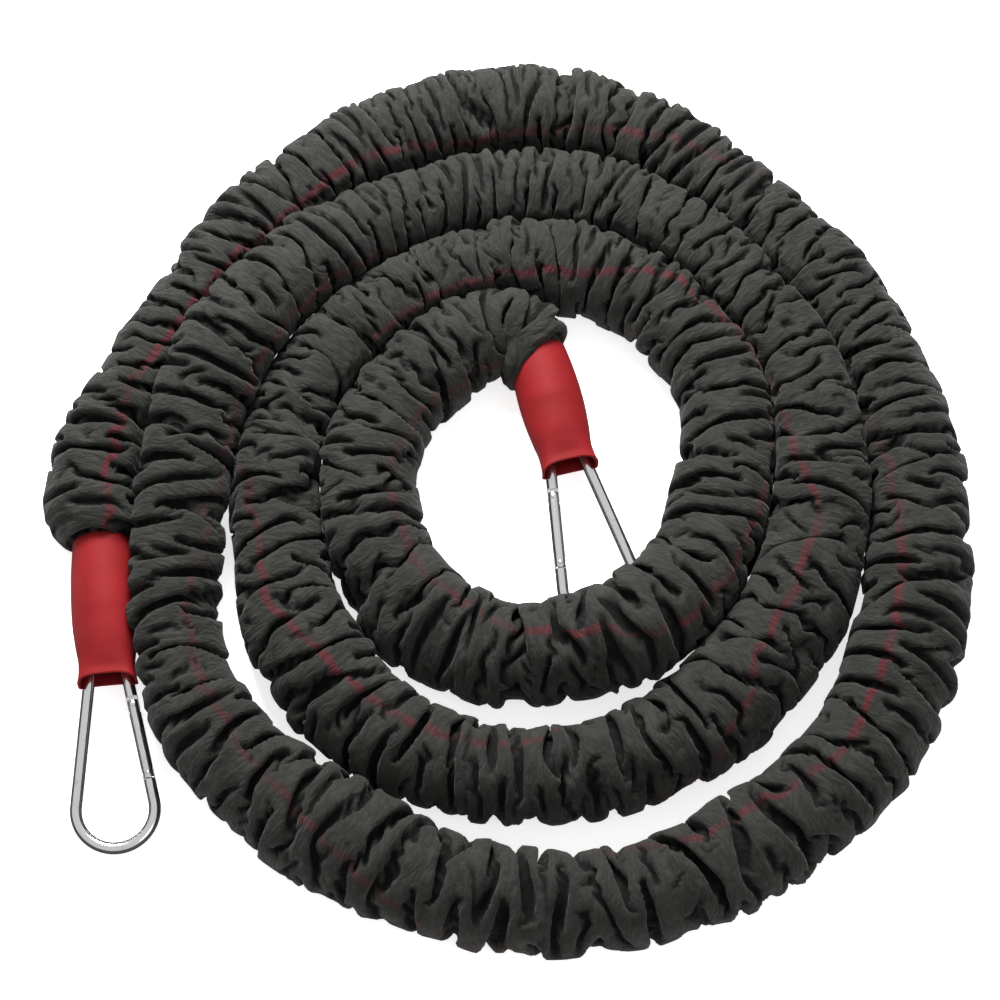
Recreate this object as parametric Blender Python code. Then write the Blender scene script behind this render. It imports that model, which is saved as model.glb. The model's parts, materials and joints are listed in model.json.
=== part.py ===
"""Resistance sprint trainer: a bungee cord in a gathered fabric sleeve, lying in a flat spiral.

Three rubber strands run through the sleeve. At each end they are locked in a plug inside a
rubber cuff. A pin across the plug and a short tether loop hold a snap hook, which tilts at its
narrow bend. The hook's spring gate turns on a rivet and its latch pin drops in the hook's nose.
Metres, +Z up, the floor at zero.
"""
import math

import bmesh
import bpy
import numpy as np
from mathutils import Matrix, Vector

# Fits
TOUCH_GAP = 0.0003
SELF_GAP = 0.0006
SWING_GAP = 0.0005
OVERRUN = 0.002
MERGE_DISTANCE = 0.000005

# Rubber core
STRAND_RADIUS = 0.0040
STRAND_ANGLES = tuple(math.radians(angle) for angle in (90, 210, 330))
STRAND_ROOM = 0.00025

# Gathered sleeve
SLEEVE_RADIUS = 0.0205
SLEEVE_WALL = 0.0012
SLEEVE_SIDES = 8
RIB_COUNT = 176
RIB_DEPTH = 0.0028
RIDGE_SHARES = (1.0, 0.94, 0.98, 0.91, 0.97)
PITCH_SHARES = (1.0, 0.86, 1.12, 0.93, 1.2, 0.89, 1.0)
RIDGE_PLACE_SHARE = 0.25
VALLEY_PLACE_SHARE = 0.75
LEAST_VALLEY_WALL = 0.0013
FLOOR_CUT_SHARE = 0.2
FLOOR_CUT_DEPTH = 0.03
BORE_STEP = 0.034
BORE_STEPS_PER_TURN = 24
STRAIGHTEST_BEND = 1.0

# The sleeve widens from its neck in the cuff
FLARE_LENGTH = 0.013
FOLD_RADIUS = 0.0127
FOLD_FLARE_LENGTH = 0.004
FOLD_LENGTH = 0.020
FOLD_RISE_LENGTH = 0.018
FOLD_PITCH_SHARE = 0.38

# Route of the cord seen from above. The clock runs clockwise from the left of the coil.
COIL_CENTRE = (0.010, 0.0)
COIL_STEP = math.radians(45)
COIL_RADII = (
    0.187, 0.200, 0.175, 0.168, 0.181, 0.184, 0.172, 0.151,
    0.149, 0.157, 0.137, 0.127, 0.127, 0.125, 0.121, 0.109,
    0.108, 0.116, 0.100, 0.081, 0.077, 0.073, 0.067, 0.067,
    0.072, 0.090,
)
COIL_FIRST = math.radians(33)
COIL_LAST = math.radians(1150)
LEAD_POINTS = ((-0.1795, 0.0080), (-0.1770, 0.0240), (-0.1700, 0.0420), (-0.1590, 0.0660))
BEND_RADIUS = 0.0145
BEND_ANGLES = tuple(math.radians(angle) for angle in (80, 60, 40, 20))
NECK_LEAD = 0.002
LIFT_CLOCKS = (math.radians(392), math.radians(958))
LIFT_SPANS = (math.radians(62), math.radians(52))
LIFT_HEIGHTS = (0.014, 0.0085)
ROUTE_STEP = 0.003
NEIGHBOUR_DISTANCE = 0.110

# Cuffs
CUFF_WALL = 0.0011
CUFF_LENGTHS = {"outer": 0.066, "inner": 0.060}
CUFF_RIMS = {"outer": (-0.1746, -0.0205), "inner": (0.0138, 0.0724)}
CUFF_HEADINGS = {"outer": math.radians(5.5), "inner": math.radians(14.0)}
CUFF_TAPER = 0.030
CUFF_FLOOR_GAP = 0.0001
CUFF_SIDES = 16
COLLAR_PLACE_SHARES = (0.0, 0.36, 0.97)
COLLAR_RISE_SHARES = (0.0, 0.3, 1.0)
BELLY_SHARE = 1.022
TAPER_PLACE_SHARES = (0.0, 0.333, 0.6, 0.733, 0.867, 1.0)
TAPER_WIDTH_SHARES = (0.993, 0.915, 0.815, 0.815, 0.845, 0.90)
TAPER_HEIGHT_SHARES = (0.965, 0.803, 0.600, 0.525, 0.515, 0.535)
TAPER_ROUNDNESS = (2.0, 2.3, 3.0, 4.5, 5.0, 5.0)

# Clamp ring and plug in the cuff
CLAMP_LENGTH = 0.006
CLAMP_THICKNESS = 0.0012
CLAMP_SETBACK = 0.001
CLAMP_SIDES = 24
SOCKET_DEPTH = 0.0035
SOCKET_SIDES = 12
PLUG_WEB = 0.0007
PLUG_SIDES = 24
PIN_RADIUS = 0.0016
PIN_RECESS = 0.0008
PIN_SIDES = 12
TETHER_RADIUS = 0.0015
TETHER_REACH = 0.0065
TETHER_ARC_POINTS = 7

# Snap hook
HOOK_LENGTH = 0.100
HOOK_WIDTH = 0.038
HOOK_NARROW_WIDTH = 0.016
WIRE_RADIUS = 0.0025
HOOK_INSET = 0.0255
NARROW_ARC_POINTS = 10
WIDE_ARC_POINTS = 17
HINGE_SHARE = 0.415
LATCH_SHARE = 0.838
TONGUE_THICKNESS = 0.0018
TONGUE_REACH = 0.0022
GATE_BACK = 0.0019
GATE_TIP = 0.0022
NOSE_REACH = 0.0021
RIVET_RADIUS = 0.0010
LATCH_RADIUS = 0.0007
LATCH_ROOM = 0.0004
RIVET_RECESS = 0.0002
RIVET_SIDES = 10
GATE_BORE_RADIUS = 0.0012
GATE_BORE_DEPTH = 0.011
PLUNGER_LENGTH = 0.0025
SPRING_WIRE_RADIUS = 0.0002
SPRING_TURNS = 6
SPRING_POINTS_PER_TURN = 8
TILT_RANGES = {"outer": math.radians(14), "inner": math.radians(2)}
FLIPPED = {"outer": False, "inner": True}

# Sizes worked out from those above
STRAND_OFFSET = (STRAND_RADIUS + TOUCH_GAP / 2) / math.sin(math.pi / len(STRAND_ANGLES))
CORE_REACH = STRAND_OFFSET + STRAND_RADIUS
BORE_RADIUS = (CORE_REACH + STRAND_ROOM) / math.cos(math.pi / SLEEVE_SIDES)
NECK_RADIUS = BORE_RADIUS + SLEEVE_WALL
ROUTE_HEIGHT = SLEEVE_RADIUS * (1 - FLOOR_CUT_SHARE)
CLAMP_INNER = (NECK_RADIUS + TOUCH_GAP / 2) / math.cos(math.pi / CLAMP_SIDES)
CLAMP_OUTER = CLAMP_INNER + CLAMP_THICKNESS
RIM_RADIUS = (NECK_RADIUS + TOUCH_GAP) / math.cos(math.pi / CUFF_SIDES) + CUFF_WALL
COLLAR_RADIUS = (CLAMP_OUTER + TOUCH_GAP / 2) / math.cos(math.pi / CUFF_SIDES) + CUFF_WALL
BELLY_RADIUS = COLLAR_RADIUS * BELLY_SHARE
CUFF_HEIGHT = BELLY_RADIUS + CUFF_FLOOR_GAP
PLUG_ROOM = BELLY_RADIUS * TAPER_HEIGHT_SHARES[0] - CUFF_WALL
PLUG_RADIUS = PLUG_ROOM * math.cos(math.pi / CUFF_SIDES) - TOUCH_GAP
PIN_LOOP_RADIUS = PIN_RADIUS + TOUCH_GAP + TETHER_RADIUS
HOOK_LOOP_RADIUS = WIRE_RADIUS + SWING_GAP + TETHER_RADIUS
SLOT_ROOM = PIN_LOOP_RADIUS + TETHER_RADIUS + TOUCH_GAP
SLOT_HALF_HEIGHT = HOOK_LOOP_RADIUS + TETHER_RADIUS + TOUCH_GAP
SLOT_HALF_WIDTH = TETHER_RADIUS + TOUCH_GAP
NARROW_RADIUS = HOOK_NARROW_WIDTH / 2 - WIRE_RADIUS
WIDE_RADIUS = HOOK_WIDTH / 2 - WIRE_RADIUS
HOOK_REACH = HOOK_LENGTH - 2 * WIRE_RADIUS
HOOK_CENTRES = HOOK_REACH - NARROW_RADIUS - WIDE_RADIUS
LEG_ANGLE = math.asin((WIDE_RADIUS - NARROW_RADIUS) / HOOK_CENTRES)
LEG_LENGTH = HOOK_CENTRES * math.cos(LEG_ANGLE)
HOOK_TILT = math.asin((CUFF_HEIGHT - WIRE_RADIUS) / HOOK_REACH)
GATE_SPAN = LEG_LENGTH * (LATCH_SHARE - HINGE_SHARE)
SLOT_WIDTH = TONGUE_THICKNESS + 2 * TOUCH_GAP
HINGE_SHOULDER = math.hypot(GATE_BACK, WIRE_RADIUS) + TOUCH_GAP
TONGUE_SWEEP = math.hypot(TONGUE_REACH, WIRE_RADIUS)
HINGE_SLOT_END = TONGUE_SWEEP + SWING_GAP
NOSE_SHOULDER = GATE_TIP + SWING_GAP
NOSE_SLOT_END = NOSE_REACH + SWING_GAP


def clear_scene():
    for thing in list(bpy.data.objects):
        bpy.data.objects.remove(thing, do_unlink=True)


def material(name, colour, roughness, metallic=0.0):
    surface = bpy.data.materials.new(name)
    surface.use_nodes = True
    shader = surface.node_tree.nodes["Principled BSDF"]
    shader.inputs["Base Color"].default_value = (*colour, 1)
    shader.inputs["Roughness"].default_value = roughness
    shader.inputs["Metallic"].default_value = metallic
    return surface


def fabric(name):
    return material(name, (0.062, 0.062, 0.059), 0.92)


def latex(name):
    return material(name, (0.50, 0.42, 0.27), 0.55)


def red_rubber(name):
    return material(name, (0.50, 0.018, 0.025), 0.55)


def black_plastic(name):
    return material(name, (0.03, 0.03, 0.032), 0.45)


def webbing(name):
    return material(name, (0.05, 0.05, 0.055), 0.8)


def steel(name):
    return material(name, (0.62, 0.63, 0.65), 0.2, 1.0)


def add(thing, matrix, look):
    """Links an object in the scene at its place, with a material of its own."""
    bpy.context.scene.collection.objects.link(thing)
    thing.matrix_world = matrix
    if look:
        thing.data.materials.append(look(thing.name))
    return thing


def loft(name, rings, capped=True):
    """A solid through equal rings of points. Without caps the last ring joins the first."""
    count = len(rings[0])
    links = len(rings) - 1 if capped else len(rings)
    faces = []
    for index in range(links):
        here = index * count
        there = (index + 1) % len(rings) * count
        for side in range(count):
            other = (side + 1) % count
            faces.append((here + side, here + other, there + other, there + side))
    if capped:
        faces.append(tuple(reversed(range(count))))
        faces.append(tuple(range(links * count, links * count + count)))
    mesh = bpy.data.meshes.new(name)
    mesh.from_pydata([point for ring in rings for point in ring], [], faces)
    turn_out(mesh)
    return bpy.data.objects.new(name, mesh)


def turn_out(mesh):
    """Joins points that coincide and turns every face outward."""
    shell = bmesh.new()
    shell.from_mesh(mesh)
    bmesh.ops.remove_doubles(shell, verts=shell.verts, dist=MERGE_DISTANCE)
    bmesh.ops.recalc_face_normals(shell, faces=shell.faces)
    shell.to_mesh(mesh)
    shell.free()


def rod(name, start, end, radius, sides):
    """A round bar between two points."""
    start, end = Vector(start), Vector(end)
    turn = (end - start).to_track_quat("Z", "Y")
    angles = [math.tau * side / sides for side in range(sides)]
    ring = [turn @ Vector((radius * math.cos(a), radius * math.sin(a), 0)) for a in angles]
    return loft(name, [[start + point for point in ring], [end + point for point in ring]])


def block(name, low, high):
    """A box between two corners."""
    corners = ((low[0], low[1]), (high[0], low[1]), (high[0], high[1]), (low[0], high[1]))
    return loft(name, [[(x, y, z) for x, y in corners] for z in (low[2], high[2])])


def tube(name, points, radius, resolution, shares=None, closed=False, twist="Z_UP"):
    """A round cord or wire along a line of points."""
    curve = bpy.data.curves.new(name, "CURVE")
    curve.dimensions = "3D"
    curve.twist_mode = twist
    curve.resolution_u = 1
    curve.render_resolution_u = 0
    curve.bevel_depth = radius
    curve.bevel_resolution = resolution
    curve.use_fill_caps = not closed
    line = curve.splines.new("POLY")
    line.points.add(len(points) - 1)
    line.use_cyclic_u = closed
    for index, place in enumerate(points):
        line.points[index].co = (*place, 1)
        line.points[index].radius = shares[index] if shares is not None else 1
    return bpy.data.objects.new(name, curve)


def as_mesh(thing):
    """The same tube as a mesh, which can be cut."""
    bpy.context.scene.collection.objects.link(thing)
    shape = thing.evaluated_get(bpy.context.evaluated_depsgraph_get())
    mesh = bpy.data.meshes.new_from_object(shape)
    name = thing.name
    bpy.data.objects.remove(thing, do_unlink=True)
    turn_out(mesh)
    return bpy.data.objects.new(name, mesh)


def cut(target, cutters):
    """Takes each cutter out of the target. The cutters stay in the scene, hidden."""
    for cutter in cutters:
        cutter.hide_render = True
        cutter.display_type = "WIRE"
        step = target.modifiers.new(cutter.name, "BOOLEAN")
        step.operation = "DIFFERENCE"
        step.solver = "EXACT"
        step.object = cutter


def arc(radius, first, last, count, centre=0.0):
    """Points of an arc in the XY plane, round a centre on the X axis."""
    angles = np.linspace(first, last, count)
    return [(centre + radius * math.cos(a), radius * math.sin(a), 0.0) for a in angles]


def smooth(points, steps):
    """A smooth curve through points, with each step's length taken into account."""
    points = np.vstack([2 * points[0] - points[1], points, 2 * points[-1] - points[-2]])
    knots = np.cumsum(np.r_[0, np.sqrt(np.linalg.norm(np.diff(points, axis=0), axis=1))])
    line = []
    for index in range(1, len(points) - 2):
        t0, t1, t2, t3 = knots[index - 1:index + 3]
        p0, p1, p2, p3 = points[index - 1:index + 3]
        for t in np.linspace(t1, t2, steps, endpoint=False):
            a1 = p0 * (t1 - t) / (t1 - t0) + p1 * (t - t0) / (t1 - t0)
            a2 = p1 * (t2 - t) / (t2 - t1) + p2 * (t - t1) / (t2 - t1)
            a3 = p2 * (t3 - t) / (t3 - t2) + p3 * (t - t2) / (t3 - t2)
            b1 = a1 * (t2 - t) / (t2 - t0) + a2 * (t - t0) / (t2 - t0)
            b2 = a2 * (t3 - t) / (t3 - t1) + a3 * (t - t1) / (t3 - t1)
            line.append(b1 * (t2 - t) / (t2 - t1) + b2 * (t - t1) / (t2 - t1))
    return np.array(line + [points[-2]])


def rise(share):
    """Goes gently from 0 to 1 as the share does."""
    share = np.clip(share, 0, 1)
    return share * share * (3 - 2 * share)


def end_frame(end):
    """The cuff's frame: its origin in the rim, +X out along the cuff, +Z up."""
    heading = CUFF_HEADINGS[end]
    place = Matrix.Translation((*CUFF_RIMS[end], CUFF_HEIGHT))
    return place @ Matrix.Rotation(heading - math.pi / 2, 4, "Z")


def end_places(end):
    """Distances from the rim of what sits in a cuff."""
    length = CUFF_LENGTHS[end]
    apex = length - HOOK_INSET
    pin = apex - TETHER_REACH
    slot = pin - SLOT_ROOM
    plug = slot - PLUG_WEB - SOCKET_DEPTH
    return {
        "mouth": length,
        "apex": apex,
        "pin": pin,
        "slot": slot,
        "plug": plug,
        "plug_end": apex - WIRE_RADIUS - SWING_GAP,
        "sleeve_end": plug - TOUCH_GAP,
        "clamp": plug - CLAMP_SETBACK - CLAMP_LENGTH,
        "clamp_end": plug - CLAMP_SETBACK,
    }


def hook_frame(end):
    """The hook's frame: its origin in the wire of the narrow bend, which it tilts about."""
    place = Matrix.Translation((end_places(end)["apex"], 0, 0))
    tilt = Matrix.Rotation(HOOK_TILT, 4, "Y")
    flip = Matrix.Rotation(math.pi if FLIPPED[end] else 0, 4, "X")
    return end_frame(end) @ place @ tilt @ flip


def leg_frame(share):
    """A frame on the hook's gate leg: +X to the nose, +Y out, at a share of the leg."""
    out = Vector((-math.sin(LEG_ANGLE), math.cos(LEG_ANGLE), 0))
    along = Vector((math.cos(LEG_ANGLE), math.sin(LEG_ANGLE), 0))
    place = Vector((NARROW_RADIUS, 0, 0)) + out * NARROW_RADIUS + along * LEG_LENGTH * share
    return Matrix.Translation(place) @ Matrix.Rotation(LEG_ANGLE, 4, "Z")


def coil_point(clock, radius):
    lift = 0.0
    for middle, span, height in zip(LIFT_CLOCKS, LIFT_SPANS, LIFT_HEIGHTS):
        lift += height * (1 + math.cos(math.pi * min(1, abs(clock - middle) / span))) / 2
    x = COIL_CENTRE[0] - radius * math.cos(clock)
    y = COIL_CENTRE[1] + radius * math.sin(clock)
    return (x, y, ROUTE_HEIGHT + lift)


def neck_points(end):
    """Points along a cuff's axis, from the sleeve's end to a little outside the rim."""
    frame = end_frame(end)
    places = np.linspace(end_places(end)["sleeve_end"], -NECK_LEAD, 6)
    return [tuple(frame @ Vector((place, 0, 0))) for place in places]


def route():
    """The cord's centre line, a point every few millimetres, and the distance along it."""
    clocks = COIL_STEP * np.arange(1, len(COIL_RADII) + 1)
    turns = smooth(np.c_[clocks, COIL_RADII], 6)
    coil = [coil_point(c, r) for c, r in turns if COIL_FIRST < c < COIL_LAST]
    levels = CUFF_HEIGHT + (ROUTE_HEIGHT - CUFF_HEIGHT) * rise(
        np.linspace(0, 1, len(LEAD_POINTS)))
    lead = [(x, y, z) for (x, y), z in zip(LEAD_POINTS, levels)]
    frame = end_frame("inner")
    bend = []
    for angle in BEND_ANGLES:
        x = -NECK_LEAD - BEND_RADIUS * math.sin(angle)
        y = -BEND_RADIUS * (1 - math.cos(angle))
        z = (ROUTE_HEIGHT - CUFF_HEIGHT) * rise(angle / BEND_ANGLES[0])
        bend.append(tuple(frame @ Vector((x, y, z))))
    inner = neck_points("inner")[::-1]
    line = smooth(np.array(neck_points("outer") + lead + coil + bend + inner), 12)
    along = np.cumsum(np.r_[0, np.linalg.norm(np.diff(line, axis=0), axis=1)])
    places = np.linspace(0, along[-1], round(along[-1] / ROUTE_STEP) + 1)
    return places, on_line(along, line, places)


def on_line(along, line, places):
    return np.stack([np.interp(places, along, line[:, axis]) for axis in range(3)], axis=1)


def widest(along, line):
    """The sleeve's radius along the route: full where free, less at the cuffs and neighbours."""
    from_outer = along - end_places("outer")["sleeve_end"]
    from_inner = along[-1] - along - end_places("inner")["sleeve_end"]
    full = np.minimum(
        NECK_RADIUS + (SLEEVE_RADIUS - NECK_RADIUS) * rise(from_outer / FLARE_LENGTH),
        NECK_RADIUS + (FOLD_RADIUS - NECK_RADIUS) * rise(from_inner / FOLD_FLARE_LENGTH)
        + (SLEEVE_RADIUS - FOLD_RADIUS) * rise((from_inner - FOLD_LENGTH) / FOLD_RISE_LENGTH))
    apart = np.linalg.norm(line[:, None] - line[None], axis=2)
    apart[np.abs(along[:, None] - along[None]) < NEIGHBOUR_DISTANCE] = np.inf
    shared = (apart - SELF_GAP) / 2
    given = apart - full[None] - SELF_GAP
    room = np.minimum(full, np.maximum(shared, given).min(axis=1))
    for end in CUFF_LENGTHS:
        axis = end_frame(end)
        own = along if end == "outer" else along[-1] - along
        away = own > NEIGHBOUR_DISTANCE
        cuff = [axis @ Vector((place, 0, 0)) for place in np.linspace(0, CUFF_LENGTHS[end], 12)]
        near = least_distance(line, cuff) - BELLY_RADIUS - SELF_GAP
        room = np.where(away, np.minimum(room, near), room)
        for tilt in (0, TILT_RANGES[end]):
            turn = tilt if FLIPPED[end] else -tilt
            raised = hook_frame(end) @ Matrix.Rotation(turn, 4, "Y")
            wire = [raised @ Vector(point) for point in hook_line()]
            near = least_distance(line, wire) - WIRE_RADIUS - SELF_GAP
            room = np.where(away, np.minimum(room, near), room)
    return room


def least_distance(line, points):
    return np.linalg.norm(line[:, None] - np.array(points)[None], axis=2).min(axis=1)


def rib_places(along):
    """Where ridges and valleys lie along the route, with each ridge's share of the radius."""
    start = end_places("outer")["sleeve_end"]
    end = along[-1] - end_places("inner")["sleeve_end"]
    fold = end - FOLD_LENGTH
    pitches = np.array([PITCH_SHARES[index % len(PITCH_SHARES)] for index in range(RIB_COUNT)])
    tight_count = round(RIB_COUNT * FOLD_LENGTH / FOLD_PITCH_SHARE / (end - start))
    tight, plain = pitches[:tight_count], pitches[tight_count:]
    plain = plain * (fold - start) / plain.sum()
    tight = tight * FOLD_LENGTH / tight.sum()
    place = start
    places, shares, ridges = [], [], []
    for index, length in enumerate(np.r_[plain, tight]):
        places += [place + length * RIDGE_PLACE_SHARE, place + length * VALLEY_PLACE_SHARE]
        shares += [RIDGE_SHARES[index % len(RIDGE_SHARES)]] * 2
        ridges += [True, False]
        place += length
    return np.array(places), np.array(shares), np.array(ridges)


def sleeve(along, line, bore_line):
    """The gathered sleeve: ribs along the route, a neck in each cuff, a bore, a flat underside."""
    room = widest(along, line)
    places, shares, ridges = rib_places(along)
    local = np.interp(places, along, room)
    ridge = np.maximum(local * shares, NECK_RADIUS)
    valley = np.maximum(ridge - RIB_DEPTH, np.minimum(ridge, NECK_RADIUS + LEAST_VALLEY_WALL))
    radii = np.where(ridges, ridge, valley)
    rims = (end_places("outer")["sleeve_end"], along[-1] - end_places("inner")["sleeve_end"])
    places = np.r_[0, rims[0], places, rims[1], along[-1]]
    radii = np.r_[NECK_RADIUS, NECK_RADIUS, radii, NECK_RADIUS, NECK_RADIUS]
    points = on_line(along, line, places)
    print_gap(places, points, radii)
    body = as_mesh(tube("sleeve", points, SLEEVE_RADIUS, 2, radii / SLEEVE_RADIUS))
    add(body, Matrix(), fabric)
    first = bore_line[0] + (bore_line[0] - bore_line[1])
    last = bore_line[-1] + (bore_line[-1] - bore_line[-2])
    longer = np.vstack([first, bore_line, last])
    bore = add(as_mesh(tube("sleeve_bore", longer, BORE_RADIUS, 2)), Matrix(), None)
    side = max(COIL_RADII) + CUFF_LENGTHS["outer"] + HOOK_LENGTH
    under = block("floor_cut", (-side, -side, -FLOOR_CUT_DEPTH), (side, side, 0))
    floor = add(under, Matrix(), None)
    cut(body, [bore, floor])
    return body


def print_gap(places, points, radii):
    apart = np.linalg.norm(points[:, None] - points[None], axis=2) - radii[:, None] - radii[None]
    apart[np.abs(places[:, None] - places[None]) < NEIGHBOUR_DISTANCE] = np.inf
    print(f"sleeve: {places[-1]:.4f} m along, least gap to itself {apart.min() * 1000:.2f} mm")


def bore_places(along, line):
    """Places of the core's points: a fixed step, or fewer millimetres where the cord bends."""
    ahead = np.gradient(line, axis=0)
    ahead /= np.linalg.norm(ahead, axis=1)[:, None]
    bend = np.linalg.norm(np.gradient(ahead, axis=0), axis=1) / ROUTE_STEP
    steps = np.minimum(BORE_STEP, math.tau / BORE_STEPS_PER_TURN / np.maximum(bend, STRAIGHTEST_BEND))
    count = np.cumsum(ROUTE_STEP / steps)
    count = (count - count[0]) / (count[-1] - count[0])
    return np.interp(np.linspace(0, 1, round(np.sum(ROUTE_STEP / steps)) + 1), count, along)


def strands(bore_line):
    """Rubber strands side by side in the bore, ending in the plugs' sockets."""
    ahead = np.gradient(bore_line, axis=0)
    ahead /= np.linalg.norm(ahead, axis=1)[:, None]
    side = np.cross(ahead, (0, 0, 1))
    side /= np.linalg.norm(side, axis=1)[:, None]
    up = np.cross(side, ahead)
    more = SOCKET_DEPTH
    lines = []
    for index, angle in enumerate(STRAND_ANGLES):
        points = bore_line + STRAND_OFFSET * (math.cos(angle) * side + math.sin(angle) * up)
        points = np.vstack([points[0] - ahead[0] * more, points, points[-1] + ahead[-1] * more])
        lines.append(points)
        add(tube(f"core_strand_{index + 1}", points, STRAND_RADIUS, 1), Matrix(), latex)
    return lines


def cuff_stations(end):
    """Sections of the cuff: place, half width, half height and roundness of the outline."""
    places = end_places(end)
    stations = []
    for place, share in zip(COLLAR_PLACE_SHARES, COLLAR_RISE_SHARES):
        radius = RIM_RADIUS + (COLLAR_RADIUS - RIM_RADIUS) * share
        stations.append((places["clamp"] * place, radius, radius, 2))
    stations.append((places["clamp_end"], BELLY_RADIUS, BELLY_RADIUS, 2))
    start = places["mouth"] - CUFF_TAPER
    taper = zip(TAPER_PLACE_SHARES, TAPER_WIDTH_SHARES, TAPER_HEIGHT_SHARES, TAPER_ROUNDNESS)
    for place, width, height, roundness in taper:
        sizes = BELLY_RADIUS * width, BELLY_RADIUS * height
        stations.append((start + CUFF_TAPER * place, *sizes, roundness))
    return stations


def oval(place, half_width, half_height, roundness):
    """A ring of points across the cuff. More roundness makes squarer corners."""
    ring = []
    for side in range(CUFF_SIDES):
        angle = math.tau * side / CUFF_SIDES
        across, upward = math.cos(angle), math.sin(angle)
        y = half_width * math.copysign(abs(across) ** (2 / roundness), across)
        z = half_height * math.copysign(abs(upward) ** (2 / roundness), upward)
        ring.append((place, y, z))
    return ring


def cuff(end):
    stations = cuff_stations(end)
    outside = [oval(*station) for station in stations]
    inside = [oval(x, w - CUFF_WALL, h - CUFF_WALL, n) for x, w, h, n in reversed(stations)]
    add(loft(f"{end}_cuff", outside + inside, capped=False), end_frame(end), red_rubber)


def sleeve_clamp(end):
    """A metal ring pressed round the sleeve's neck inside the cuff."""
    places = end_places(end)
    rings = []
    for place, radius in (("clamp", CLAMP_OUTER), ("clamp_end", CLAMP_OUTER),
                          ("clamp_end", CLAMP_INNER), ("clamp", CLAMP_INNER)):
        angles = [math.tau * side / CLAMP_SIDES for side in range(CLAMP_SIDES)]
        rings.append([(places[place], radius * math.cos(a), radius * math.sin(a)) for a in angles])
    add(loft(f"{end}_sleeve_clamp", rings, capped=False), end_frame(end), steel)


def anchor_plug(end, strand_ends):
    """A plug with a socket for each strand, a slot for the tether loop and a hole for its pin."""
    places = end_places(end)
    frame = end_frame(end)
    start, slot, stop = places["plug"], places["slot"], places["plug_end"]
    plug = rod(f"{end}_anchor_plug", (start, 0, 0), (stop, 0, 0), PLUG_RADIUS, PLUG_SIDES)
    add(plug, frame, black_plastic)
    radius = (STRAND_RADIUS + TOUCH_GAP) / math.cos(math.pi / SOCKET_SIDES)
    cutters = []
    for index, point in enumerate(strand_ends):
        _, y, z = frame.inverted() @ Vector(point)
        ends = (start - OVERRUN, y, z), (start + SOCKET_DEPTH, y, z)
        cutters.append(rod(f"{end}_socket_{index + 1}", *ends, radius, SOCKET_SIDES))
    low = (slot, -SLOT_HALF_WIDTH, -SLOT_HALF_HEIGHT)
    high = (stop + OVERRUN, SLOT_HALF_WIDTH, SLOT_HALF_HEIGHT)
    cutters.append(block(f"{end}_plug_slot", low, high))
    out = PLUG_RADIUS + OVERRUN
    hole = (PIN_RADIUS + TOUCH_GAP) / math.cos(math.pi / PIN_SIDES)
    across = (places["pin"], -out, 0), (places["pin"], out, 0)
    cutters.append(rod(f"{end}_pin_hole", *across, hole, PIN_SIDES))
    for cutter in cutters:
        add(cutter, frame, None)
    cut(plug, cutters)


def anchor_pin(end):
    place = end_places(end)["pin"]
    half = PLUG_RADIUS - PIN_RECESS
    pin = rod(f"{end}_anchor_pin", (place, -half, 0), (place, half, 0), PIN_RADIUS, PIN_SIDES)
    add(pin, end_frame(end), steel)


def tether_loop(end):
    """A short closed cord round the pin and the hook's narrow bend, in an upright plane."""
    lean = math.asin((HOOK_LOOP_RADIUS - PIN_LOOP_RADIUS) / TETHER_REACH)
    back = arc(PIN_LOOP_RADIUS, math.pi / 2 + lean, math.pi * 3 / 2 - lean, TETHER_ARC_POINTS)
    front = arc(HOOK_LOOP_RADIUS, -math.pi / 2 - lean, math.pi / 2 + lean,
                TETHER_ARC_POINTS, TETHER_REACH)
    loop = tube(f"{end}_tether_loop", back + front, TETHER_RADIUS, 2, closed=True)
    place = Matrix.Translation((end_places(end)["pin"], 0, 0))
    add(loop, end_frame(end) @ place @ Matrix.Rotation(math.pi / 2, 4, "X"), webbing)


def hook_line():
    """The hook's wire: from its hinge tongue round the narrow and the wide bend to its nose."""
    quarter = math.pi / 2
    narrow = arc(NARROW_RADIUS, quarter + LEG_ANGLE, math.pi + quarter - LEG_ANGLE,
                 NARROW_ARC_POINTS, NARROW_RADIUS)
    wide = arc(WIDE_RADIUS, -quarter - LEG_ANGLE, quarter + LEG_ANGLE,
               WIDE_ARC_POINTS, NARROW_RADIUS + HOOK_CENTRES)
    hinge = leg_frame(HINGE_SHARE) @ Vector((TONGUE_REACH, 0, 0))
    nose = leg_frame(LATCH_SHARE) @ Vector((-NOSE_REACH, 0, 0))
    return [tuple(hinge)] + narrow + wide + [tuple(nose)]


def tongue_cuts(name, start, stop):
    """Two boxes that leave a flat tongue in the middle of the wire."""
    out = WIRE_RADIUS + OVERRUN
    half = TONGUE_THICKNESS / 2
    over = block(f"{name}_over", (start, -out, half), (stop, out, out))
    under = block(f"{name}_under", (start, -out, -out), (stop, out, -half))
    return [over, under]


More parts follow.
